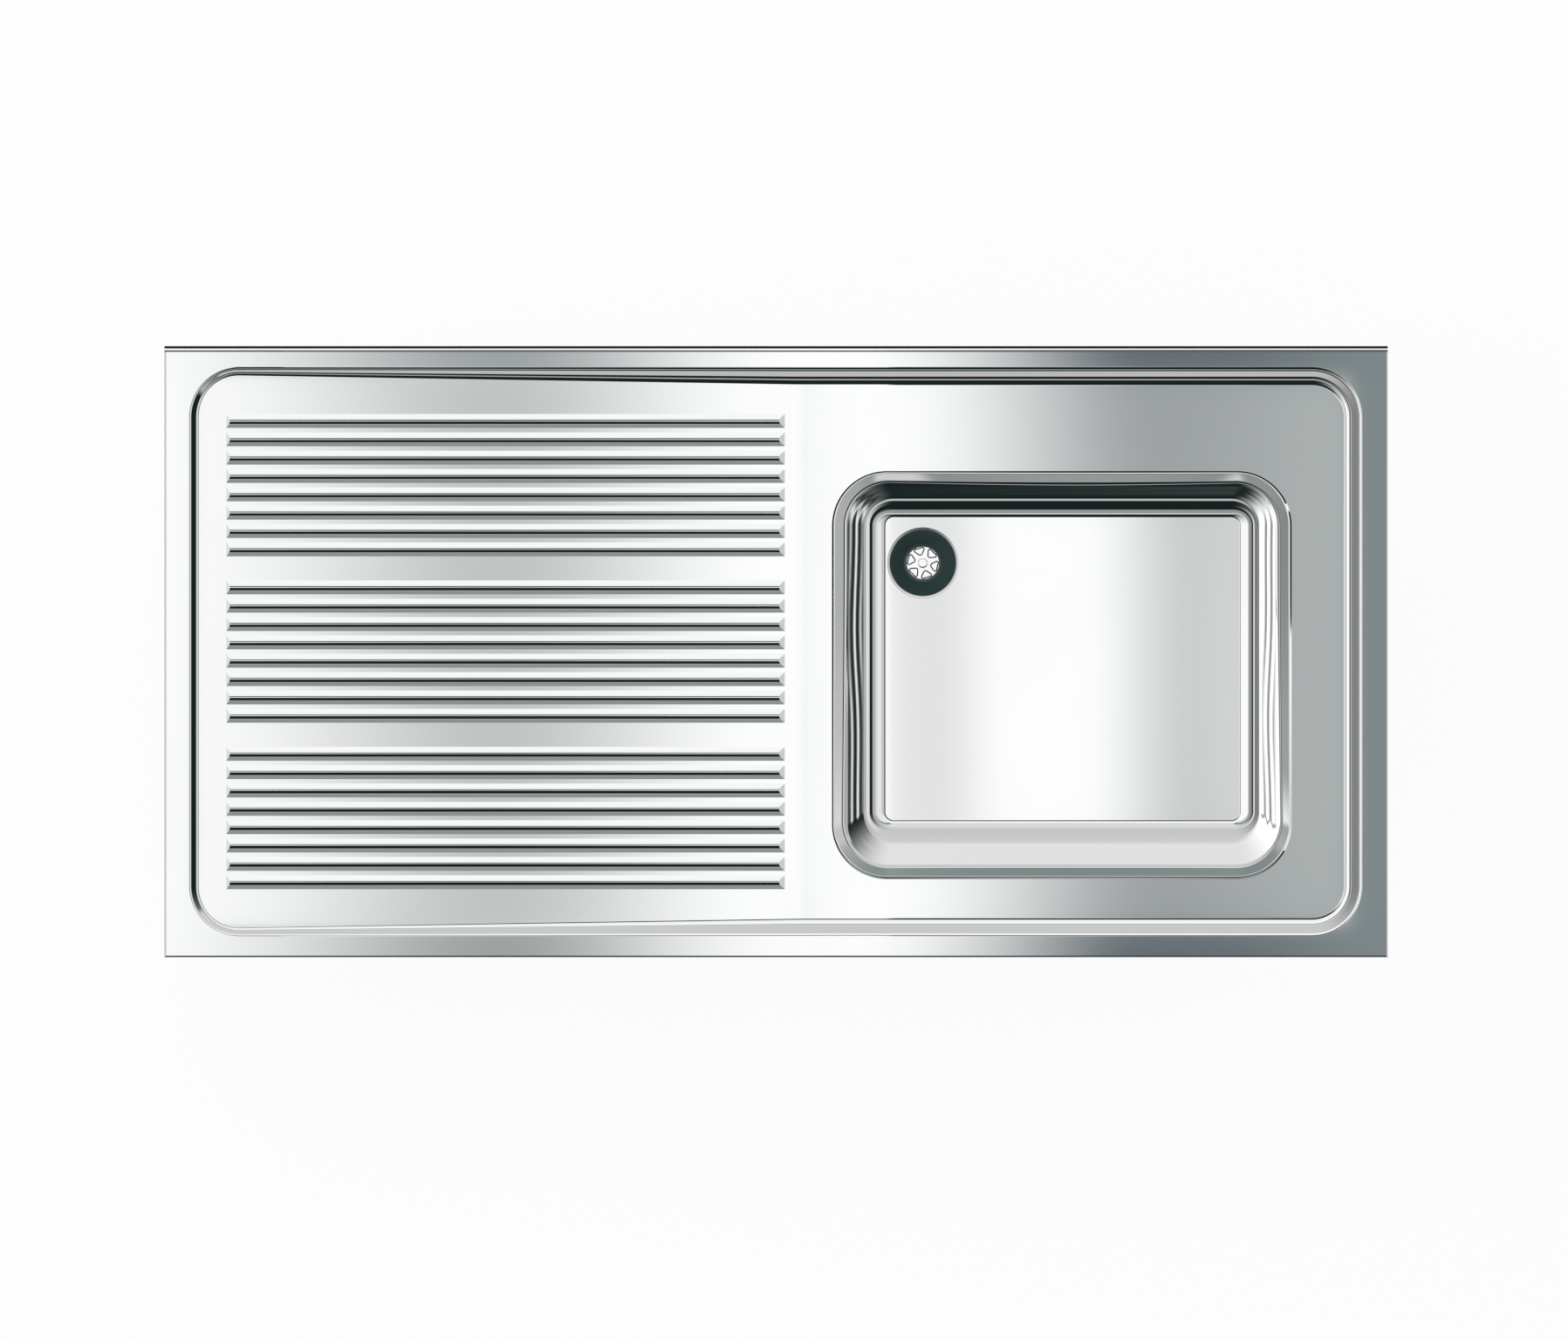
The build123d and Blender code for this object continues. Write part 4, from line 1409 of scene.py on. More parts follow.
def node_copy(node: str) -> Piece:
    """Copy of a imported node, merged into whole faces for modelling.

    Args:
        node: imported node's name.

    Returns:
        The new piece.
    """
    piece = bpy.data.objects.new(f"{node}_finished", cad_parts[node].data.copy())
    bpy.context.scene.collection.objects.link(piece)
    choose(piece)
    bpy.ops.mesh.customdata_custom_splitnormals_clear()
    with editing():
        bpy.ops.mesh.remove_doubles(threshold=NODE_WELD)
        bpy.ops.mesh.dissolve_limited(angle_limit=NODE_FLAT)
    return piece


def rounded(piece: Piece, width: float, steps: int = 2) -> Piece:
    """Ease a piece's sharp edges and keep its flat faces flat in the light.

    Args:
        piece: the piece.
        width: width of the eased edges.
        steps: steps across each eased edge.

    Returns:
        The same piece.
    """
    choose(piece)
    easing = piece.modifiers.new("eased_edges", "BEVEL")
    easing.width = width
    easing.segments = steps
    easing.limit_method = "ANGLE"
    easing.angle_limit = EASING_LIMIT
    bpy.ops.object.modifier_apply(modifier=easing.name)
    bpy.ops.object.shade_smooth_by_angle(angle=EASING_LIMIT)
    flats = piece.modifiers.new("flat_faces", "WEIGHTED_NORMAL")
    flats.keep_sharp = True
    flats.weight = FLAT_WEIGHT
    bpy.ops.object.modifier_apply(modifier=flats.name)
    return piece


def drawn_line(name: str, places: Sequence[Vector]) -> Piece:
    """Run of edges drawn point by point, left in edit mode.

    Args:
        name: object name.
        places: the points in order.

    Returns:
        The new piece.
    """
    start_clean()
    bpy.ops.mesh.primitive_plane_add(size=MM, location=(0, 0, 0))
    piece = bpy.context.object
    piece.name = name
    bpy.ops.object.mode_set(mode="EDIT")
    bpy.ops.mesh.merge(type="CENTER")
    bpy.ops.transform.translate(value=places[0])
    for here, there in zip(places, places[1:]):
        bpy.ops.mesh.extrude_region_move(TRANSFORM_OT_translate={"value": there - here})
    return piece


def turned_piece(name: str, section: Sequence[tuple[float, float]], middle: Vector, steps: int) -> Piece:
    """Piece turned round a vertical axis, drawn point by point and spun.

    Args:
        name: object name.
        section: closed run of (radius, height) points, without the repeat of the first.
        middle: place of the axis, whose height is added to the section's.
        steps: steps of the full turn.

    Returns:
        The new piece.
    """
    places = [Vector((middle.x + radius, middle.y, middle.z + height)) for radius, height in section]
    piece = drawn_line(name, places + places[:1])
    with editing():
        bpy.ops.mesh.remove_doubles(threshold=TURN_WELD)
        bpy.ops.mesh.select_all(action="SELECT")
        bpy.ops.mesh.spin(steps=steps, angle=FULL_TURN, center=middle, axis=(0, 0, 1))
        bpy.ops.mesh.select_all(action="SELECT")
        bpy.ops.mesh.remove_doubles(threshold=TURN_WELD)
        bpy.ops.mesh.normals_make_consistent(inside=False)
    bpy.ops.object.shade_smooth_by_angle(angle=SMOOTH_LIMIT)
    return piece


def round_corner(corner: Vector, start: Vector, end: Vector, radius: float, steps: int) -> list[Vector]:
    """Points on the round bend between two straight runs that meet at a corner.

    Args:
        corner: where the runs would meet.
        start: direction from the corner along the first run.
        end: direction from the corner along the second run.
        radius: bend radius.
        steps: steps along the bend.

    Returns:
        The points, from the first run to the second.
    """
    half = start.angle(end) / 2
    centre = corner + (start + end).normalized() * (radius / sin(half))
    reach = radius / tan(half)
    first = (corner + start * reach - centre).normalized()
    last = (corner + end * reach - centre).normalized()
    return [centre + first.slerp(last, step / steps) * radius for step in range(steps + 1)]


def eased(corners: Section, steps: int = 5) -> list[tuple[float, float]]:
    """Closed section with rounded corners.

    Args:
        corners: (radius, height, rounding) of each sharp corner, in order.
        steps: steps round each rounded corner.

    Returns:
        Points of (radius, height).
    """
    spots = [Vector((x, z, 0)) for x, z, _ in corners]
    made = []
    for index, (x, z, rounding) in enumerate(corners):
        if rounding <= 0:
            made.append((x, z))
            continue
        start = (spots[index - 1] - spots[index]).normalized()
        end = (spots[(index + 1) % len(spots)] - spots[index]).normalized()
        bend = round_corner(spots[index], start, end, rounding, steps)
        made += [(point.x, point.y) for point in bend]
    return made


@dataclass(frozen=True)
class Thread:
    """Outside thread, as a ridge wound round its core."""

    root: float
    crest: float
    pitch: float
    steps: int = 40
    foot_share: float = 0.02
    crest_share: float = 0.42
    smooth_limit: float = radians(35)

    def ridge(self, name: str, middle: Vector, low: float, high: float) -> Piece:
        """Wind the ridge.

        Args:
            name: object name.
            middle: place of the axis in plan.
            low: lowest height.
            high: highest height.

        Returns:
            The new piece.
        """
        section = ((self.root, self.foot_share), (self.crest, self.crest_share),
                   (self.crest, 1 - self.crest_share), (self.root, 1 - self.foot_share))
        piece = drawn_line(name, [Vector((radius, 0, share * self.pitch)) for radius, share in section])
        bpy.ops.object.mode_set(mode="OBJECT")
        winding = piece.modifiers.new("winding", "SCREW")
        winding.axis = "Z"
        winding.angle = FULL_TURN
        winding.screw_offset = self.pitch
        winding.iterations = int((high - low) / self.pitch) - 1
        winding.steps = self.steps
        winding.render_steps = self.steps
        winding.use_smooth_shade = True
        bpy.ops.object.modifier_apply(modifier=winding.name)
        with editing():
            bpy.ops.transform.translate(value=(middle.x, middle.y, low))
            bpy.ops.mesh.normals_make_consistent(inside=False)
        bpy.ops.object.shade_smooth_by_angle(angle=self.smooth_limit)
        return piece


def joined(name: str, pieces: Sequence[Piece]) -> Piece:
    """Several pieces as one object.

    Args:
        name: name of the object.
        pieces: the pieces.

    Returns:
        The object.
    """
    choose(pieces[0])
    for piece in pieces[1:]:
        piece.select_set(True)
    bpy.ops.object.join()
    bpy.context.object.name = name
    return bpy.context.object


def seat(piece: Piece, body: str, finish: Finish, node: str) -> None:
    """Dress a piece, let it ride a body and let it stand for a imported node.

    Steel mirrors the studio and not the other pieces, as it does in the photo.

    Args:
        piece: the finished piece.
        body: body that it moves with.
        finish: its finish.
        node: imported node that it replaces.
    """
    finish.dress(piece)
    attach(piece, body)
    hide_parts(node)
    piece.visible_glossy = False
    log.info("%s rides %s, %s, for %s", piece.name, body, finish.name, node)


def seat_copy(node: str, finish: Finish, width: float, steps: int = 2, body: str = "sink") -> None:
    """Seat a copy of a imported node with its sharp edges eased."""
    seat(rounded(node_copy(node), width, steps), body, finish, node)


@dataclass(frozen=True)
class StrainerPlate:
    """Flat strainer with petal openings, whose edges are pressed slightly down."""

    base: Vector
    radius: float = 18.6 * MM
    thick: float = 1.5 * MM
    screw_hole: float = 3.25 * MM
    turn: float = radians(15.6)
    petals: int = 6
    petal_inner: float = 11.9 * MM
    petal_inner_round: float = 1.8 * MM
    petal_outer: float = 15.4 * MM
    petal_outer_round: float = 1 * MM
    petal_half_spread: float = 4.1 * MM
    pressed_width: float = 1.4 * MM
    pressed_slope: float = radians(9)
    plain_width: float = 0.2 * MM
    arc_steps: int = 12
    circle_steps: int = 96

    @property
    def centre(self) -> Vector:
        """Middle of the upper face."""
        return self.base + UP * self.thick

    def ring(self, radius: float, facing: int) -> list[Place]:
        """Points round a circle and the directions out of the plate there.

        Args:
            radius: radius of the circle.
            facing: 1 for the rim, -1 for a hole.

        Returns:
            Pairs of point and direction.
        """
        outs = [heading(FULL_TURN * step / self.circle_steps) for step in range(self.circle_steps)]
        return [(self.centre + out * radius, out * facing) for out in outs]

    def petal(self, index: int) -> list[Place]:
        """Points round one opening and the directions out of the plate there.

        Args:
            index: number of the opening.

        Returns:
            Pairs of point and direction.
        """
        side = self.petal_half_spread
        rounds = (
            (Vector((self.petal_outer, -side, 0)), self.petal_outer_round),
            (Vector((self.petal_outer, side, 0)), self.petal_outer_round),
            (Vector((self.petal_inner, 0, 0)), self.petal_inner_round),
        )
        angles = []
        for (here, near), (there, far) in closed_pairs(rounds):
            run = there - here
            angles.append(atan2(run.y, run.x) - QUARTER + asin((near - far) / run.length))
        turn = Matrix.Rotation(self.turn + (index + 0.5) * FULL_TURN / self.petals, 3, "Z")
        made = []
        for number, (middle, radius) in enumerate(rounds):
            sweep = (angles[number] - angles[number - 1]) % FULL_TURN
            for step in range(self.arc_steps + 1):
                out = heading(angles[number - 1] + sweep * step / self.arc_steps)
                made.append((self.centre + turn @ (middle + out * radius), turn @ -out))
        return made

    def add_edge(self, skin: SheetSkin, loop: Sequence[Place], width: float) -> list[Vector]:
        """Add the pressed edge and the wall round one loop.

        Args:
            skin: skin that the edge is added to.
            loop: points round the loop and directions out of the plate.
            width: width of the pressed edge.

        Returns:
            Points where the flat face starts.
        """
        lean = tan(self.pressed_slope)
        press = UP * width * lean
        for (place, out), (after, turned) in closed_pairs(loop):
            flats = [place - out * width, after - turned * width]
            brinks = [after - press, place - press]
            lows = [corner - UP * self.thick for corner in (*flats, after, place)]
            skin.face(flats + brinks, [UP + way * lean for way in (out, turned, turned, out)])
            skin.face(lows, -UP)
            skin.face([brinks[1], brinks[0], lows[2], lows[3]], [out, turned, turned, out])
        return [place - out * width for place, out in loop]

    def build(self) -> Piece:
        """Model the plate.

        Returns:
            The strainer.
        """
        skin = SheetSkin()
        loops = [(self.ring(self.radius, 1), self.plain_width)]
        loops.append((self.ring(self.screw_hole, -1), self.plain_width))
        loops += [(self.petal(index), self.pressed_width) for index in range(self.petals)]
        for corners in fill_plan([self.add_edge(skin, loop, width) for loop, width in loops]):
            skin.sheet(level_row(corners, self.thick))
        return skin.piece("strainer_plate")


@dataclass
class StrainerWaste:
    """Waste below the bowl: dark flange and tail, strainer with its screw, seals and backnut."""

    middle: Vector
    tail_low: float
    flange_radius: float = 38 * MM
    flange_thick: float = 3.5 * MM
    flange_round: float = 0.9 * MM
    ring_radius: float = 36.4 * MM
    ring_height: float = 0.5 * MM
    ring_slope: float = 0.7 * MM
    tail_radius: float = 23.9 * MM
    tail_round: float = 0.5 * MM
    tip_inset: float = 0.2 * MM
    tip_height: float = 2.5 * MM
    tip_round: float = 0.8 * MM
    thread_depth: float = 1.2 * MM
    thread_pitch: float = 2.31 * MM
    thread_root: float = 0.1 * MM
    thread_start: float = 2 * MM
    funnel_radius: float = 21.5 * MM
    funnel_fall: float = 0.6 * MM
    funnel_round: float = 1.6 * MM
    funnel_depth: float = 6 * MM
    throat_round: float = 1.0 * MM
    seat_radius: float = 18.9 * MM
    ledge_width: float = 1.5 * MM
    ledge_depth: float = 11 * MM
    soft_round: float = 0.4 * MM
    edge_round: float = 0.3 * MM
    root_round: float = 0.2 * MM
    dish_to_nut: float = 19.2 * MM
    bridge_top: float = -15.5 * MM
    bridge_height: float = 14 * MM
    bridge_arms: int = 3
    bridge_turn: float = radians(15.6)
    arm_thick: float = 3 * MM
    arm_overlap: float = 0.6 * MM
    arm_round: float = 0.5 * MM
    arm_round_steps: int = 3
    hub_radius: float = 6.3 * MM
    hub_round: float = 0.6 * MM
    insert_radius: float = 4.7 * MM
    dish_lift: float = 1.5 * MM
    screw_easing: float = 0.2 * MM
    insert_easing: float = 0.15 * MM
    nut_easing: float = 0.6 * MM
    washer_easing: float = 0.3 * MM
    seal_easing: float = 0.4 * MM
    soft_steps: int = 3
    body_steps: int = 128
    hub_steps: int = 48

    def screw(self) -> Piece:
        """Eased copy of the screw, raised to the level of the flat strainer.

        Returns:
            The screw.
        """
        piece = node_copy("strainer_screw")
        with editing():
            bpy.ops.transform.translate(value=(0, 0, self.dish_lift))
        return rounded(piece, self.screw_easing)

    def body(self) -> Piece:
        """Flange, funnel, bore and tail, with the thread and the screw bridge.

        Returns:
            The waste body.
        """
        core = self.tail_radius - self.thread_depth
        bore = self.seat_radius - self.ledge_width
        low = self.tail_low - self.middle.z
        under, ledge = -self.flange_thick, -self.ledge_depth
        shell = turned_piece("waste_shell", eased([
            (self.flange_radius, under, self.edge_round),
            (self.flange_radius, -self.ring_height, self.flange_round),
            (self.ring_radius, -self.ring_height, self.soft_round),
            (self.ring_radius - self.ring_slope, 0.0, self.edge_round),
            (self.funnel_radius, -self.funnel_fall, self.funnel_round),
            (self.seat_radius, -self.funnel_depth, self.throat_round),
            (self.seat_radius, ledge, self.root_round),
            (bore, ledge, self.soft_round),
            (bore, low, self.tail_round),
            (core - self.tip_inset, low, self.tip_round),
            (core, low + self.tip_height, self.tail_round),
            (core, under, self.root_round),
        ]), self.middle, self.body_steps)
        thread = Thread(core - self.thread_root, self.tail_radius, self.thread_pitch).ridge(
            "waste_thread", self.middle, self.tail_low + self.thread_start, self.middle.z - self.dish_to_nut
        )
        top, foot = self.bridge_top, self.bridge_top - self.bridge_height
        hub = turned_piece("waste_hub", eased([
            (self.insert_radius, top, self.edge_round),
            (self.hub_radius, top, self.hub_round),
            (self.hub_radius, foot, self.hub_round),
            (self.insert_radius, foot, self.edge_round),
        ]), self.middle, self.hub_steps)
        arms = [self._arm(index, bore) for index in range(self.bridge_arms)]
        return joined("waste_moulding", [shell, thread, hub, *arms])

    def _arm(self, index: int, bore: float) -> Piece:
        """One arm of the bridge, from the hub to the bore.

        Args:
            index: number of the arm.
            bore: radius of the bore.

        Returns:
            The arm.
        """
        start_clean()
        reach = bore - self.hub_radius + self.arm_overlap
        centre = Vector(((bore + self.hub_radius) / 2, 0, self.bridge_top - self.bridge_height / 2))
        bpy.ops.mesh.primitive_cube_add(size=1, location=(0, 0, 0))
        piece = bpy.context.object
        piece.name = f"waste_arm_{index + 1}"
        with editing():
            bpy.ops.transform.resize(value=(reach, self.arm_thick, self.bridge_height))
            bpy.ops.mesh.bevel(offset=self.arm_round, segments=self.arm_round_steps, affect="EDGES")
            bpy.ops.mesh.select_all(action="SELECT")
            bpy.ops.transform.translate(value=centre)
        piece.rotation_euler = (0, 0, self.bridge_turn + FULL_TURN * index / self.bridge_arms)
        piece.location = self.middle
        bpy.ops.object.transform_apply(location=True, rotation=True, scale=True)
        bpy.ops.object.shade_smooth_by_angle(angle=SMOOTH_LIMIT)
        return piece

    def build(self) -> None:
        """Model, dress and seat every piece of the waste."""
        seat(self.body(), "sink", WASTE_FINISH, "waste_body")
        plate = StrainerPlate(self.middle - UP * self.ledge_depth)
        seat(plate.build(), "strainer", BRIGHT_FINISH, "strainer")
        seat(self.screw(), "strainer_screw", BRIGHT_FINISH, "strainer_screw")
        seat_copy("screw_insert", BRASS_FINISH, self.insert_easing)
        seat_copy("backnut", NUT_FINISH, self.nut_easing, self.soft_steps)
        seat_copy("slip_washer", NUT_FINISH, self.washer_easing)
        for node in ("flange_seal", "under_seal"):
            seat_copy(node, RUBBER_FINISH, self.seal_easing, self.soft_steps)


@dataclass
class UndersideFrame:
    """Rails inside the aprons, hat stiffeners and deadening pads under the top."""

    rails: tuple[str, ...] = ("front_rail", "rear_rail", "left_rail", "right_rail")
    stiffeners: tuple[str, ...] = (
        "drainer_stiffener_1", "drainer_stiffener_2", "drainer_stiffener_3",
        "bowl_stiffener_rear", "bowl_stiffener_right",
    )
    rail_easing: float = 0.35 * MM
    pad_easing: float = 0.8 * MM

    def build(self) -> None:
        """Model, dress and seat the frame's pieces."""
        for node in self.rails + self.stiffeners:
            seat_copy(node, RAIL_FINISH, self.rail_easing)
        for node in sorted(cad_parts):
            if "_pad_" in node:
                seat_copy(node, PAD_FINISH, self.pad_easing)


@dataclass
class StudSet:
    """Threaded studs standing down from the top's underside."""

    radius: float = 3 * MM
    depth: float = 0.5 * MM
    pitch: float = 1 * MM
    thread_root: float = 0.05 * MM
    thread_steps: int = 24
    tip: float = 0.8 * MM
    tip_round: float = 0.2 * MM
    weld_reach: float = 6 * MM
    weld_round: float = 0.1 * MM
    corner_steps: int = 3
    round_steps: int = 32

    def stud(self, name: str, middle: Vector, low: float, high: float) -> Piece:
        """One stud with its thread.

        Args:
            name: object name.
            middle: place of its axis in plan.
            low: height of its tip.
            high: height of its welded end.

        Returns:
            The stud.
        """
        core = self.radius - self.depth
        neck = high - self.weld_reach
        axis = Vector((middle.x, middle.y, 0))
        shank = turned_piece(f"{name}_core", eased([
            (0, low, 0),
            (core - self.tip / 2, low, self.tip_round),
            (core, low + self.tip, self.tip_round),
            (core, neck, self.tip_round),
            (self.radius, neck + self.depth, self.weld_round),
            (self.radius, high, 0),
            (0, high, 0),
        ], self.corner_steps), axis, self.round_steps)
        thread = Thread(core - self.thread_root, self.radius, self.pitch, self.thread_steps)
        return joined(name, [shank, thread.ridge(f"{name}_ridge", axis, low + self.tip, neck)])


@dataclass
class TurnClamps:
    """Four turn clamps that hold the top down on its stand."""

    corners: tuple[str, ...] = ("front_left", "front_right", "rear_left", "rear_right")
    washer_easing: float = 0.2 * MM
    easing: float = 0.5 * MM
    easing_steps: int = 3

    def build(self) -> None:
        """Model, dress and seat the clamps' pieces."""
        low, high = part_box("clamp_studs")
        studs = []
        for corner in self.corners:
            near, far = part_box(f"wing_nut_{corner}")
            studs.append(StudSet().stud(f"stud_{corner}", (near + far) / 2, low.z, high.z))
        seat(joined("clamp_stud_set", studs), "sink", FIXING_FINISH, "clamp_studs")
        seat_copy("clamp_washers", FIXING_FINISH, self.washer_easing)
        for corner in self.corners:
            for node in (f"clamp_arm_{corner}", f"wing_nut_{corner}"):
                seat_copy(node, FIXING_FINISH, self.easing, self.easing_steps, node)


@dataclass
class EarthTerminal:
    """Bonding terminal under the rear edge."""

    flat_easing: float = 0.2 * MM
    nut_easing: float = 0.35 * MM
    nut_steps: int = 3

    def build(self) -> None:
        """Model, dress and seat the terminal's pieces."""
        low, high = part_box("earth_stud")
        stud = StudSet().stud("earth_stud_threaded", (low + high) / 2, low.z, high.z)
        seat(stud, "sink", FIXING_FINISH, "earth_stud")
        seat_copy("earth_washers", FIXING_FINISH, self.flat_easing)
        seat_copy("earth_nut", FIXING_FINISH, self.nut_easing, self.nut_steps)
        seat_copy("earth_tag", BRASS_FINISH, self.flat_easing)


# Studio

TEAL_SHIFT = (-0.45, 0.1, 0.06)


def grey(value: float, teal: float = 0.0) -> Colour:
    """Neutral tone, leaning towards teal by a share."""
    return tuple(value * (1 + shift * teal) for shift in TEAL_SHIFT)


def hang_glow(piece: Piece, material: bpy.types.Material, sketch: NodeSketch, colour: Socket) -> None:
    """Let a stage piece glow, seen only in reflections.

    Args:
        piece: the stage piece.
        material: its material.
        sketch: writer of the material's nodes.
        colour: colour of the glow, as the steel is to mirror it.
    """
    sketch.surface(sketch.add("ShaderNodeEmission", {"Color": colour, "Strength": 1 / SHEET_TONE}))
    piece.data.materials.append(material)
    piece.visible_camera = False
    piece.visible_diffuse = False
    piece.visible_shadow = False
    piece.visible_transmission = False
    piece.visible_volume_scatter = False


@dataclass(frozen=True)
class GradedPanel:
    """Overhead panel whose glow is graded from left to right."""

    name: str
    left: float
    right: float
    front: float
    rear: float
    height: float
    stops: tuple[Stop, ...]

    def build(self) -> None:
        """Hang the panel as part of the stage."""
        width = self.right - self.left
        start_clean()
        bpy.ops.mesh.primitive_plane_add(size=1, location=(0, 0, 0))
        panel = bpy.context.object
        panel.name = self.name
        with editing():
            bpy.ops.transform.resize(value=(width, self.rear - self.front, 1))
            middle = ((self.left + self.right) / 2, (self.front + self.rear) / 2, self.height)
            bpy.ops.transform.translate(value=middle)
        material, sketch = new_material(self.name)
        x = sketch.add("ShaderNodeSeparateXYZ", {0: sketch.places()}).outputs["X"]
        inputs = {"Value": x, "From Min": self.left, "From Max": self.right}
        share = sketch.add("ShaderNodeMapRange", inputs).outputs["Result"]
        stops = [((place - self.left) / width, colour) for place, colour in self.stops]
        hang_glow(panel, material, sketch, sketch.ramp(share, stops))


@dataclass(frozen=True)
class StudioDome:
    """Dome round the set, with its own tones towards each side."""

    tones: dict[Side, tuple[Tone, ...]]
    radius: float = 20.0
    segments: int = 64
    rings: int = 32
    least: float = 1e-6

    def build(self) -> None:
        """Set up the dome as part of the stage."""
        start_clean()
        bpy.ops.mesh.primitive_uv_sphere_add(
            segments=self.segments, ring_count=self.rings, radius=self.radius, location=(0, 0, 0)
        )
        dome = bpy.context.object
        dome.name = "studio_dome"
        with editing():
            bpy.ops.mesh.flip_normals()
        bpy.ops.object.shade_smooth()
        material, sketch = new_material("dome_tones")
        aim = sketch.vector("NORMALIZE", {0: sketch.places()})
        parts = sketch.add("ShaderNodeSeparateXYZ", {0: aim}).outputs
        lean = sketch.math("DIVIDE", sketch.math("ARCCOSINE", parts["Z"]), pi)
        level = sketch.math("SUBTRACT", 1.0, sketch.math("POWER", parts["Z"], 2.0))
        level = sketch.math("MAXIMUM", level, self.least)
        total: Optional[Socket] = None
        for side, stops in self.tones.items():
            step_x, step_y = side.value
            along = sketch.math("MULTIPLY", parts["X" if step_x else "Y"], float(step_x + step_y))
            toward = sketch.math("POWER", sketch.math("MAXIMUM", along, 0.0), 2.0)
            share = sketch.math("DIVIDE", toward, level)
            tone = sketch.ramp(lean, [(degrees / 180, grey(*tint)) for degrees, *tint in stops])
            part = sketch.vector("SCALE", {0: tone, "Scale": share})
            total = part if total is None else sketch.vector("ADD", {0: total, 1: part})
        hang_glow(dome, material, sketch, total)


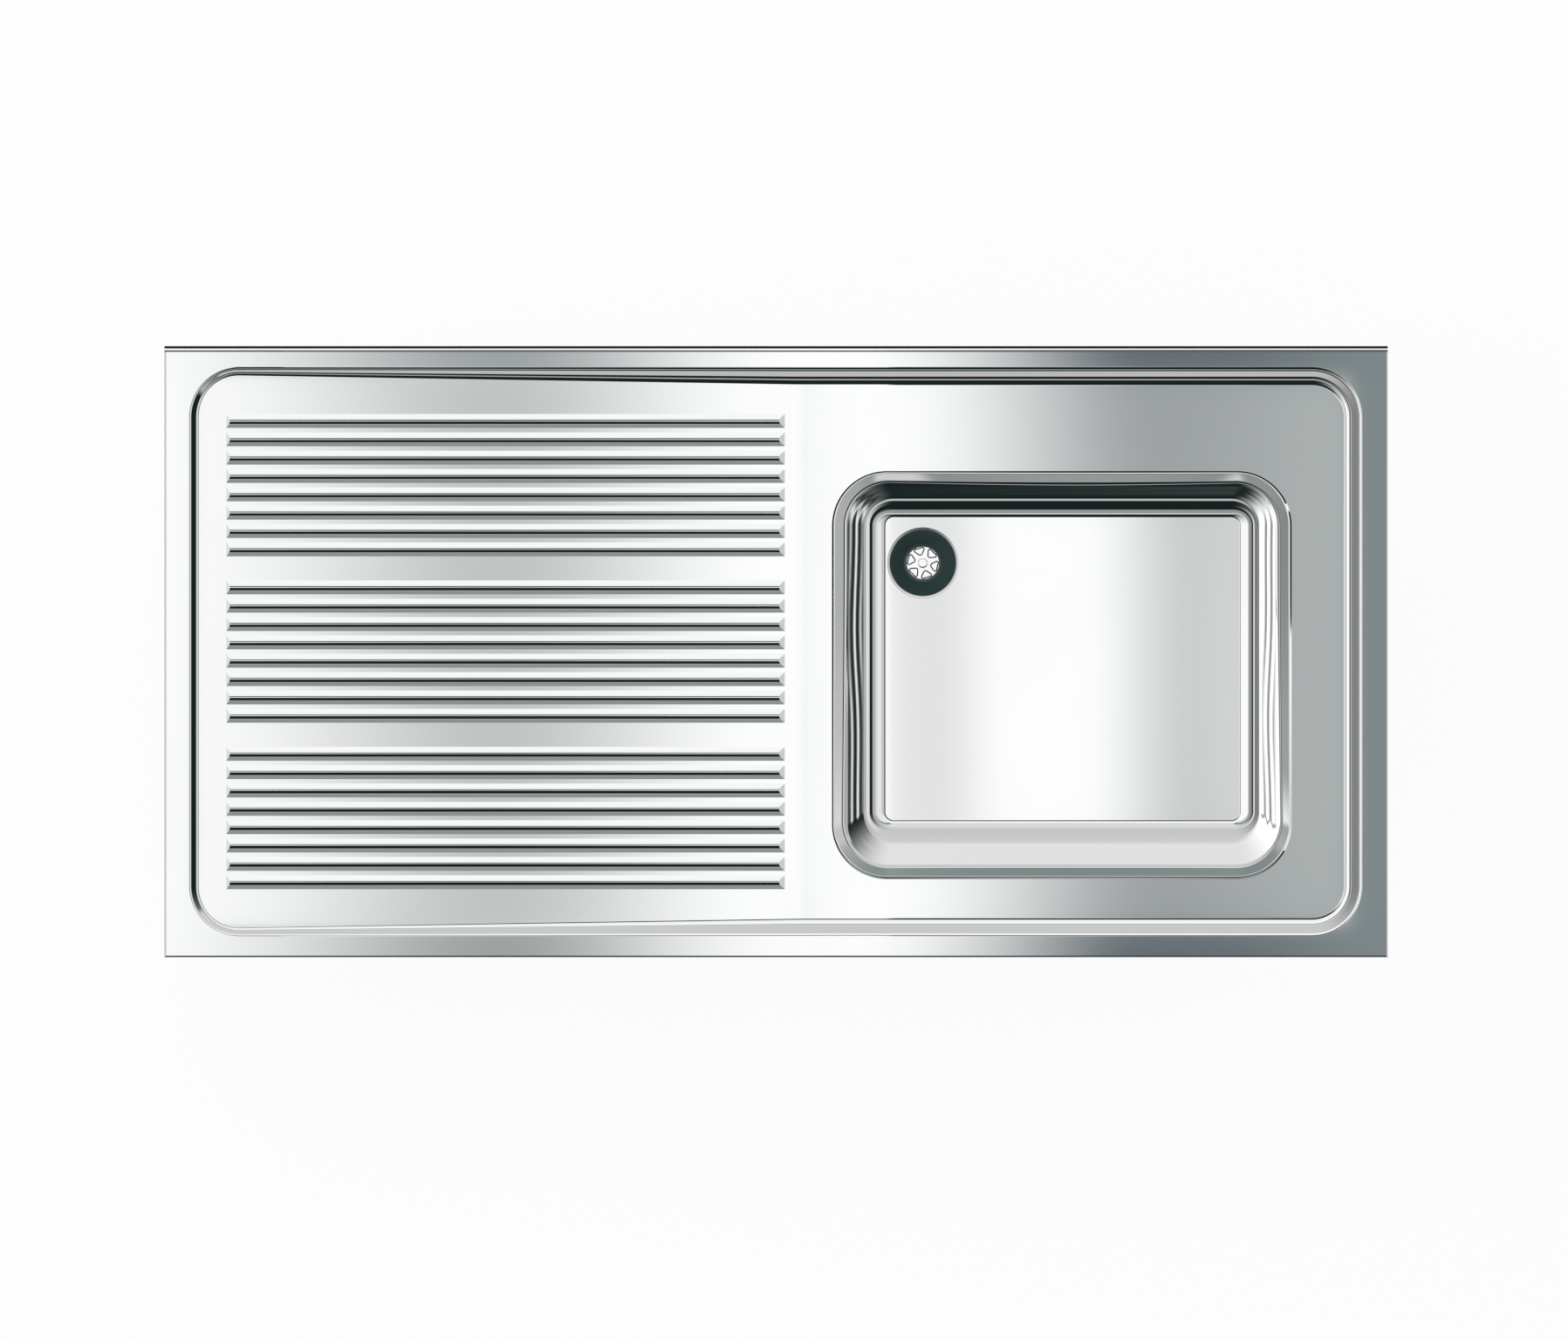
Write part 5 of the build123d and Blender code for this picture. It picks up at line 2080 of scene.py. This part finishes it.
@dataclass
class Studio:
    """Camera, floor, light and the panels and dome that the polished steel mirrors."""

    floor_z: float
    frame_width: float = 1.7944
    aim_x: float = 0.0091
    aim_y: float = -0.0205
    camera_height: float = 2.5
    camera_reach: float = 50.0
    panel_height: float = 7.0
    panel_gap: float = 0.01
    drainer_panel_height: float = 3.0
    floor_size: float = 30.0
    floor_tone: float = 0.92
    floor_rough: float = 0.9
    floor_glow: float = 0.94
    fill_level: float = 0.6
    key_power: float = 45.0
    key_size: float = 2.2
    key_place: tuple[float, float, float] = (-1.4, 1.2, 2.7)

    def camera(self) -> None:
        """Parallel camera looking straight down, rear edge at the top of the picture."""
        data = bpy.data.cameras.new("plan_camera")
        data.type = "ORTHO"
        data.ortho_scale = self.frame_width
        data.clip_end = self.camera_reach
        camera = bpy.data.objects.new("plan_camera", data)
        camera.location = (self.aim_x, self.aim_y, self.camera_height)
        bpy.context.scene.collection.objects.link(camera)
        bpy.context.scene.camera = camera

    @staticmethod
    def _seen_directly(sketch: NodeSketch) -> Socket:
        """Tell rays from the camera, from a mirror or through something clear.

        Args:
            sketch: writer of the nodes.

        Returns:
            1 for such rays, 0 for all others.
        """
        path = sketch.add("ShaderNodeLightPath").outputs
        either = sketch.math("MAXIMUM", path["Is Camera Ray"], path["Is Glossy Ray"])
        return sketch.math("MAXIMUM", either, path["Is Transmission Ray"])

    def world(self) -> None:
        """White surroundings to look at, and an even fill light."""
        world = bpy.data.worlds.new("white_surround")
        world.use_nodes = True
        bpy.context.scene.world = world
        sketch = NodeSketch(world.node_tree)
        level = sketch.ranged(self._seen_directly(sketch), self.fill_level, 1.0)
        sketch.fill(world.node_tree.nodes["Background"], {"Color": (1, 1, 1, 1), "Strength": level})

    def floor(self) -> None:
        """White floor that keeps the object's shadow and lets views from below through."""
        start_clean()
        bpy.ops.mesh.primitive_plane_add(size=self.floor_size, location=(0, 0, 0))
        floor = bpy.context.object
        floor.name = "studio_floor"
        with editing():
            bpy.ops.transform.translate(value=(0, 0, self.floor_z))
        material, sketch = new_material("white_floor")
        plain = material.node_tree.nodes["Principled BSDF"]
        colour = (self.floor_tone, self.floor_tone, self.floor_tone, 1)
        sketch.fill(plain, {"Base Color": colour, "Roughness": self.floor_rough, "Specular IOR Level": 0.0})
        glow = sketch.add("ShaderNodeEmission").outputs[0]
        share = sketch.math("MULTIPLY", self._seen_directly(sketch), self.floor_glow)
        lit = sketch.add("ShaderNodeMixShader", {0: share, 1: plain.outputs[0], 2: glow}).outputs[0]
        clear = sketch.add("ShaderNodeBsdfTransparent").outputs[0]
        behind = sketch.add("ShaderNodeNewGeometry").outputs["Backfacing"]
        sketch.surface(sketch.add("ShaderNodeMixShader", {0: behind, 1: lit, 2: clear}))
        floor.data.materials.append(material)
        floor.visible_glossy = False

    def key_light(self) -> None:
        """Large soft lamp from the rear left."""
        data = bpy.data.lights.new("soft_key", "AREA")
        data.shape = "SQUARE"
        data.size = self.key_size
        data.energy = self.key_power
        lamp = bpy.data.objects.new("soft_key", data)
        lamp.location = self.key_place
        lamp.rotation_euler = Vector(self.key_place).to_track_quat("Z", "Y").to_euler()
        lamp.visible_glossy = False
        bpy.context.scene.collection.objects.link(lamp)

    def panels(self) -> None:
        """Graded panels over the rim, the level deck, the bowl and, hung lower, the sloping drainer."""
        white = grey(0.98)
        rim = ((-0.74, white), (-0.314, (0.335, 0.356, 0.36)), (0.02, white), (0.09, white),
               (0.42, (0.126, 0.15, 0.166)), (0.5, (0.13, 0.155, 0.169)), (0.72, (0.21, 0.245, 0.252)))
        deck = ((0.03, white), (0.12, white), (0.44, (0.338, 0.358, 0.36)), (0.658, (0.414, 0.436, 0.436)))
        bowl = ((0.1, grey(0.86)), (0.18, grey(0.745)), (0.27, white), (0.35, white),
                (0.475, (0.598, 0.61, 0.608)), (0.548, grey(0.67)))
        drainer = ((-0.564, grey(0.94)), (-0.214, (0.525, 0.545, 0.545)), (0.1, white), (0.13, white))
        high, gap = self.panel_height, self.panel_gap
        GradedPanel("rim_panel", -0.76, 0.76, -0.39, 0.4, high, rim).build()
        GradedPanel("deck_panel", 0.03, 0.658, -0.3145, 0.3155, high - gap, deck).build()
        GradedPanel("bowl_panel", 0.1, 0.548, -0.214, 0.172, high - 2 * gap, bowl).build()
        GradedPanel("drainer_panel", -0.564, 0.13, -0.316, 0.317, self.drainer_panel_height, drainer).build()

    def dome(self) -> None:
        """Dark front, light rear and streaked ends, each by the degrees from straight up."""
        dark = (0.014, 0.9)
        front = ((0, *dark), (60, *dark), (62, 0.6), (65.5, 0.6), (68, 0.27, 0.1), (77, 0.31, 0.1),
                 (80, *dark), (116, *dark), (120, 0.48), (128, 0.48), (132, *dark), (180, *dark))
        rear = ((0, *dark), (19, *dark), (24, 0.8), (40, 0.9), (70.5, 0.93), (73.5, 0.26, 0.3),
                (79, 0.2, 0.4), (81.5, 0.74), (100, 0.55), (140, 0.58), (180, 0.66))
        left = ((0, *dark), (24, *dark), (28, 0.95), (60, 0.95), (65, 0.34), (80, 0.22, 0.2), (84, *dark),
                (88, *dark), (91, 0.72), (97, 0.72), (100, 0.2), (131, 0.22), (138, 0.97), (165, 0.97),
                (170.9, 0.97), (171.4, 0.1, 0.4), (171.75, 0.2), (172, 0.98), (172.9, 0.97),
                (174.5, 0.08, 0.6), (176, 0.95), (180, 0.95))
        right = ((0, *dark), (24, *dark), (27, 0.55), (38, 0.55), (44, 0.8), (60, 0.75), (70, 0.5),
                 (75, 0.42), (82, 0.42), (86, *dark), (99, *dark), (105, 0.7), (124, 0.7), (132, 0.42),
                 (158, 0.36), (163, 0.5), (166, *dark), (169.4, *dark), (170, 0.8), (171.2, *dark),
                 (174, 0.35), (176, *dark), (180, *dark))
        StudioDome({Side.FRONT: front, Side.REAR: rear, Side.LEFT: left, Side.RIGHT: right}).build()

    def build(self) -> None:
        """Set up the whole studio."""
        bpy.context.scene.view_settings.view_transform = "Standard"
        self.camera()
        self.world()
        self.floor()
        self.key_light()
        self.panels()
        self.dome()


FLOOR_GAP = 0.1 * MM


def main() -> None:
    """Build the sink top piece by piece, then the studio."""
    logging.basicConfig(level=logging.INFO, format="%(name)s: %(message)s")
    top = SinkTop(*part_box("deck"))
    seat(top.build(), "sink", SHEET_FINISH, "deck")
    bowl = DrawnBowl(top.bowl)
    seat(bowl.build(), "sink", SHEET_FINISH, "bowl")
    StrainerWaste(bowl.waste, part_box("waste_body")[0].z).build()
    UndersideFrame().build()
    TurnClamps().build()
    EarthTerminal().build()
    Studio(CAD_BOX[0].z - FLOOR_GAP).build()
    start_clean()


if __name__ == "__main__":
    main()
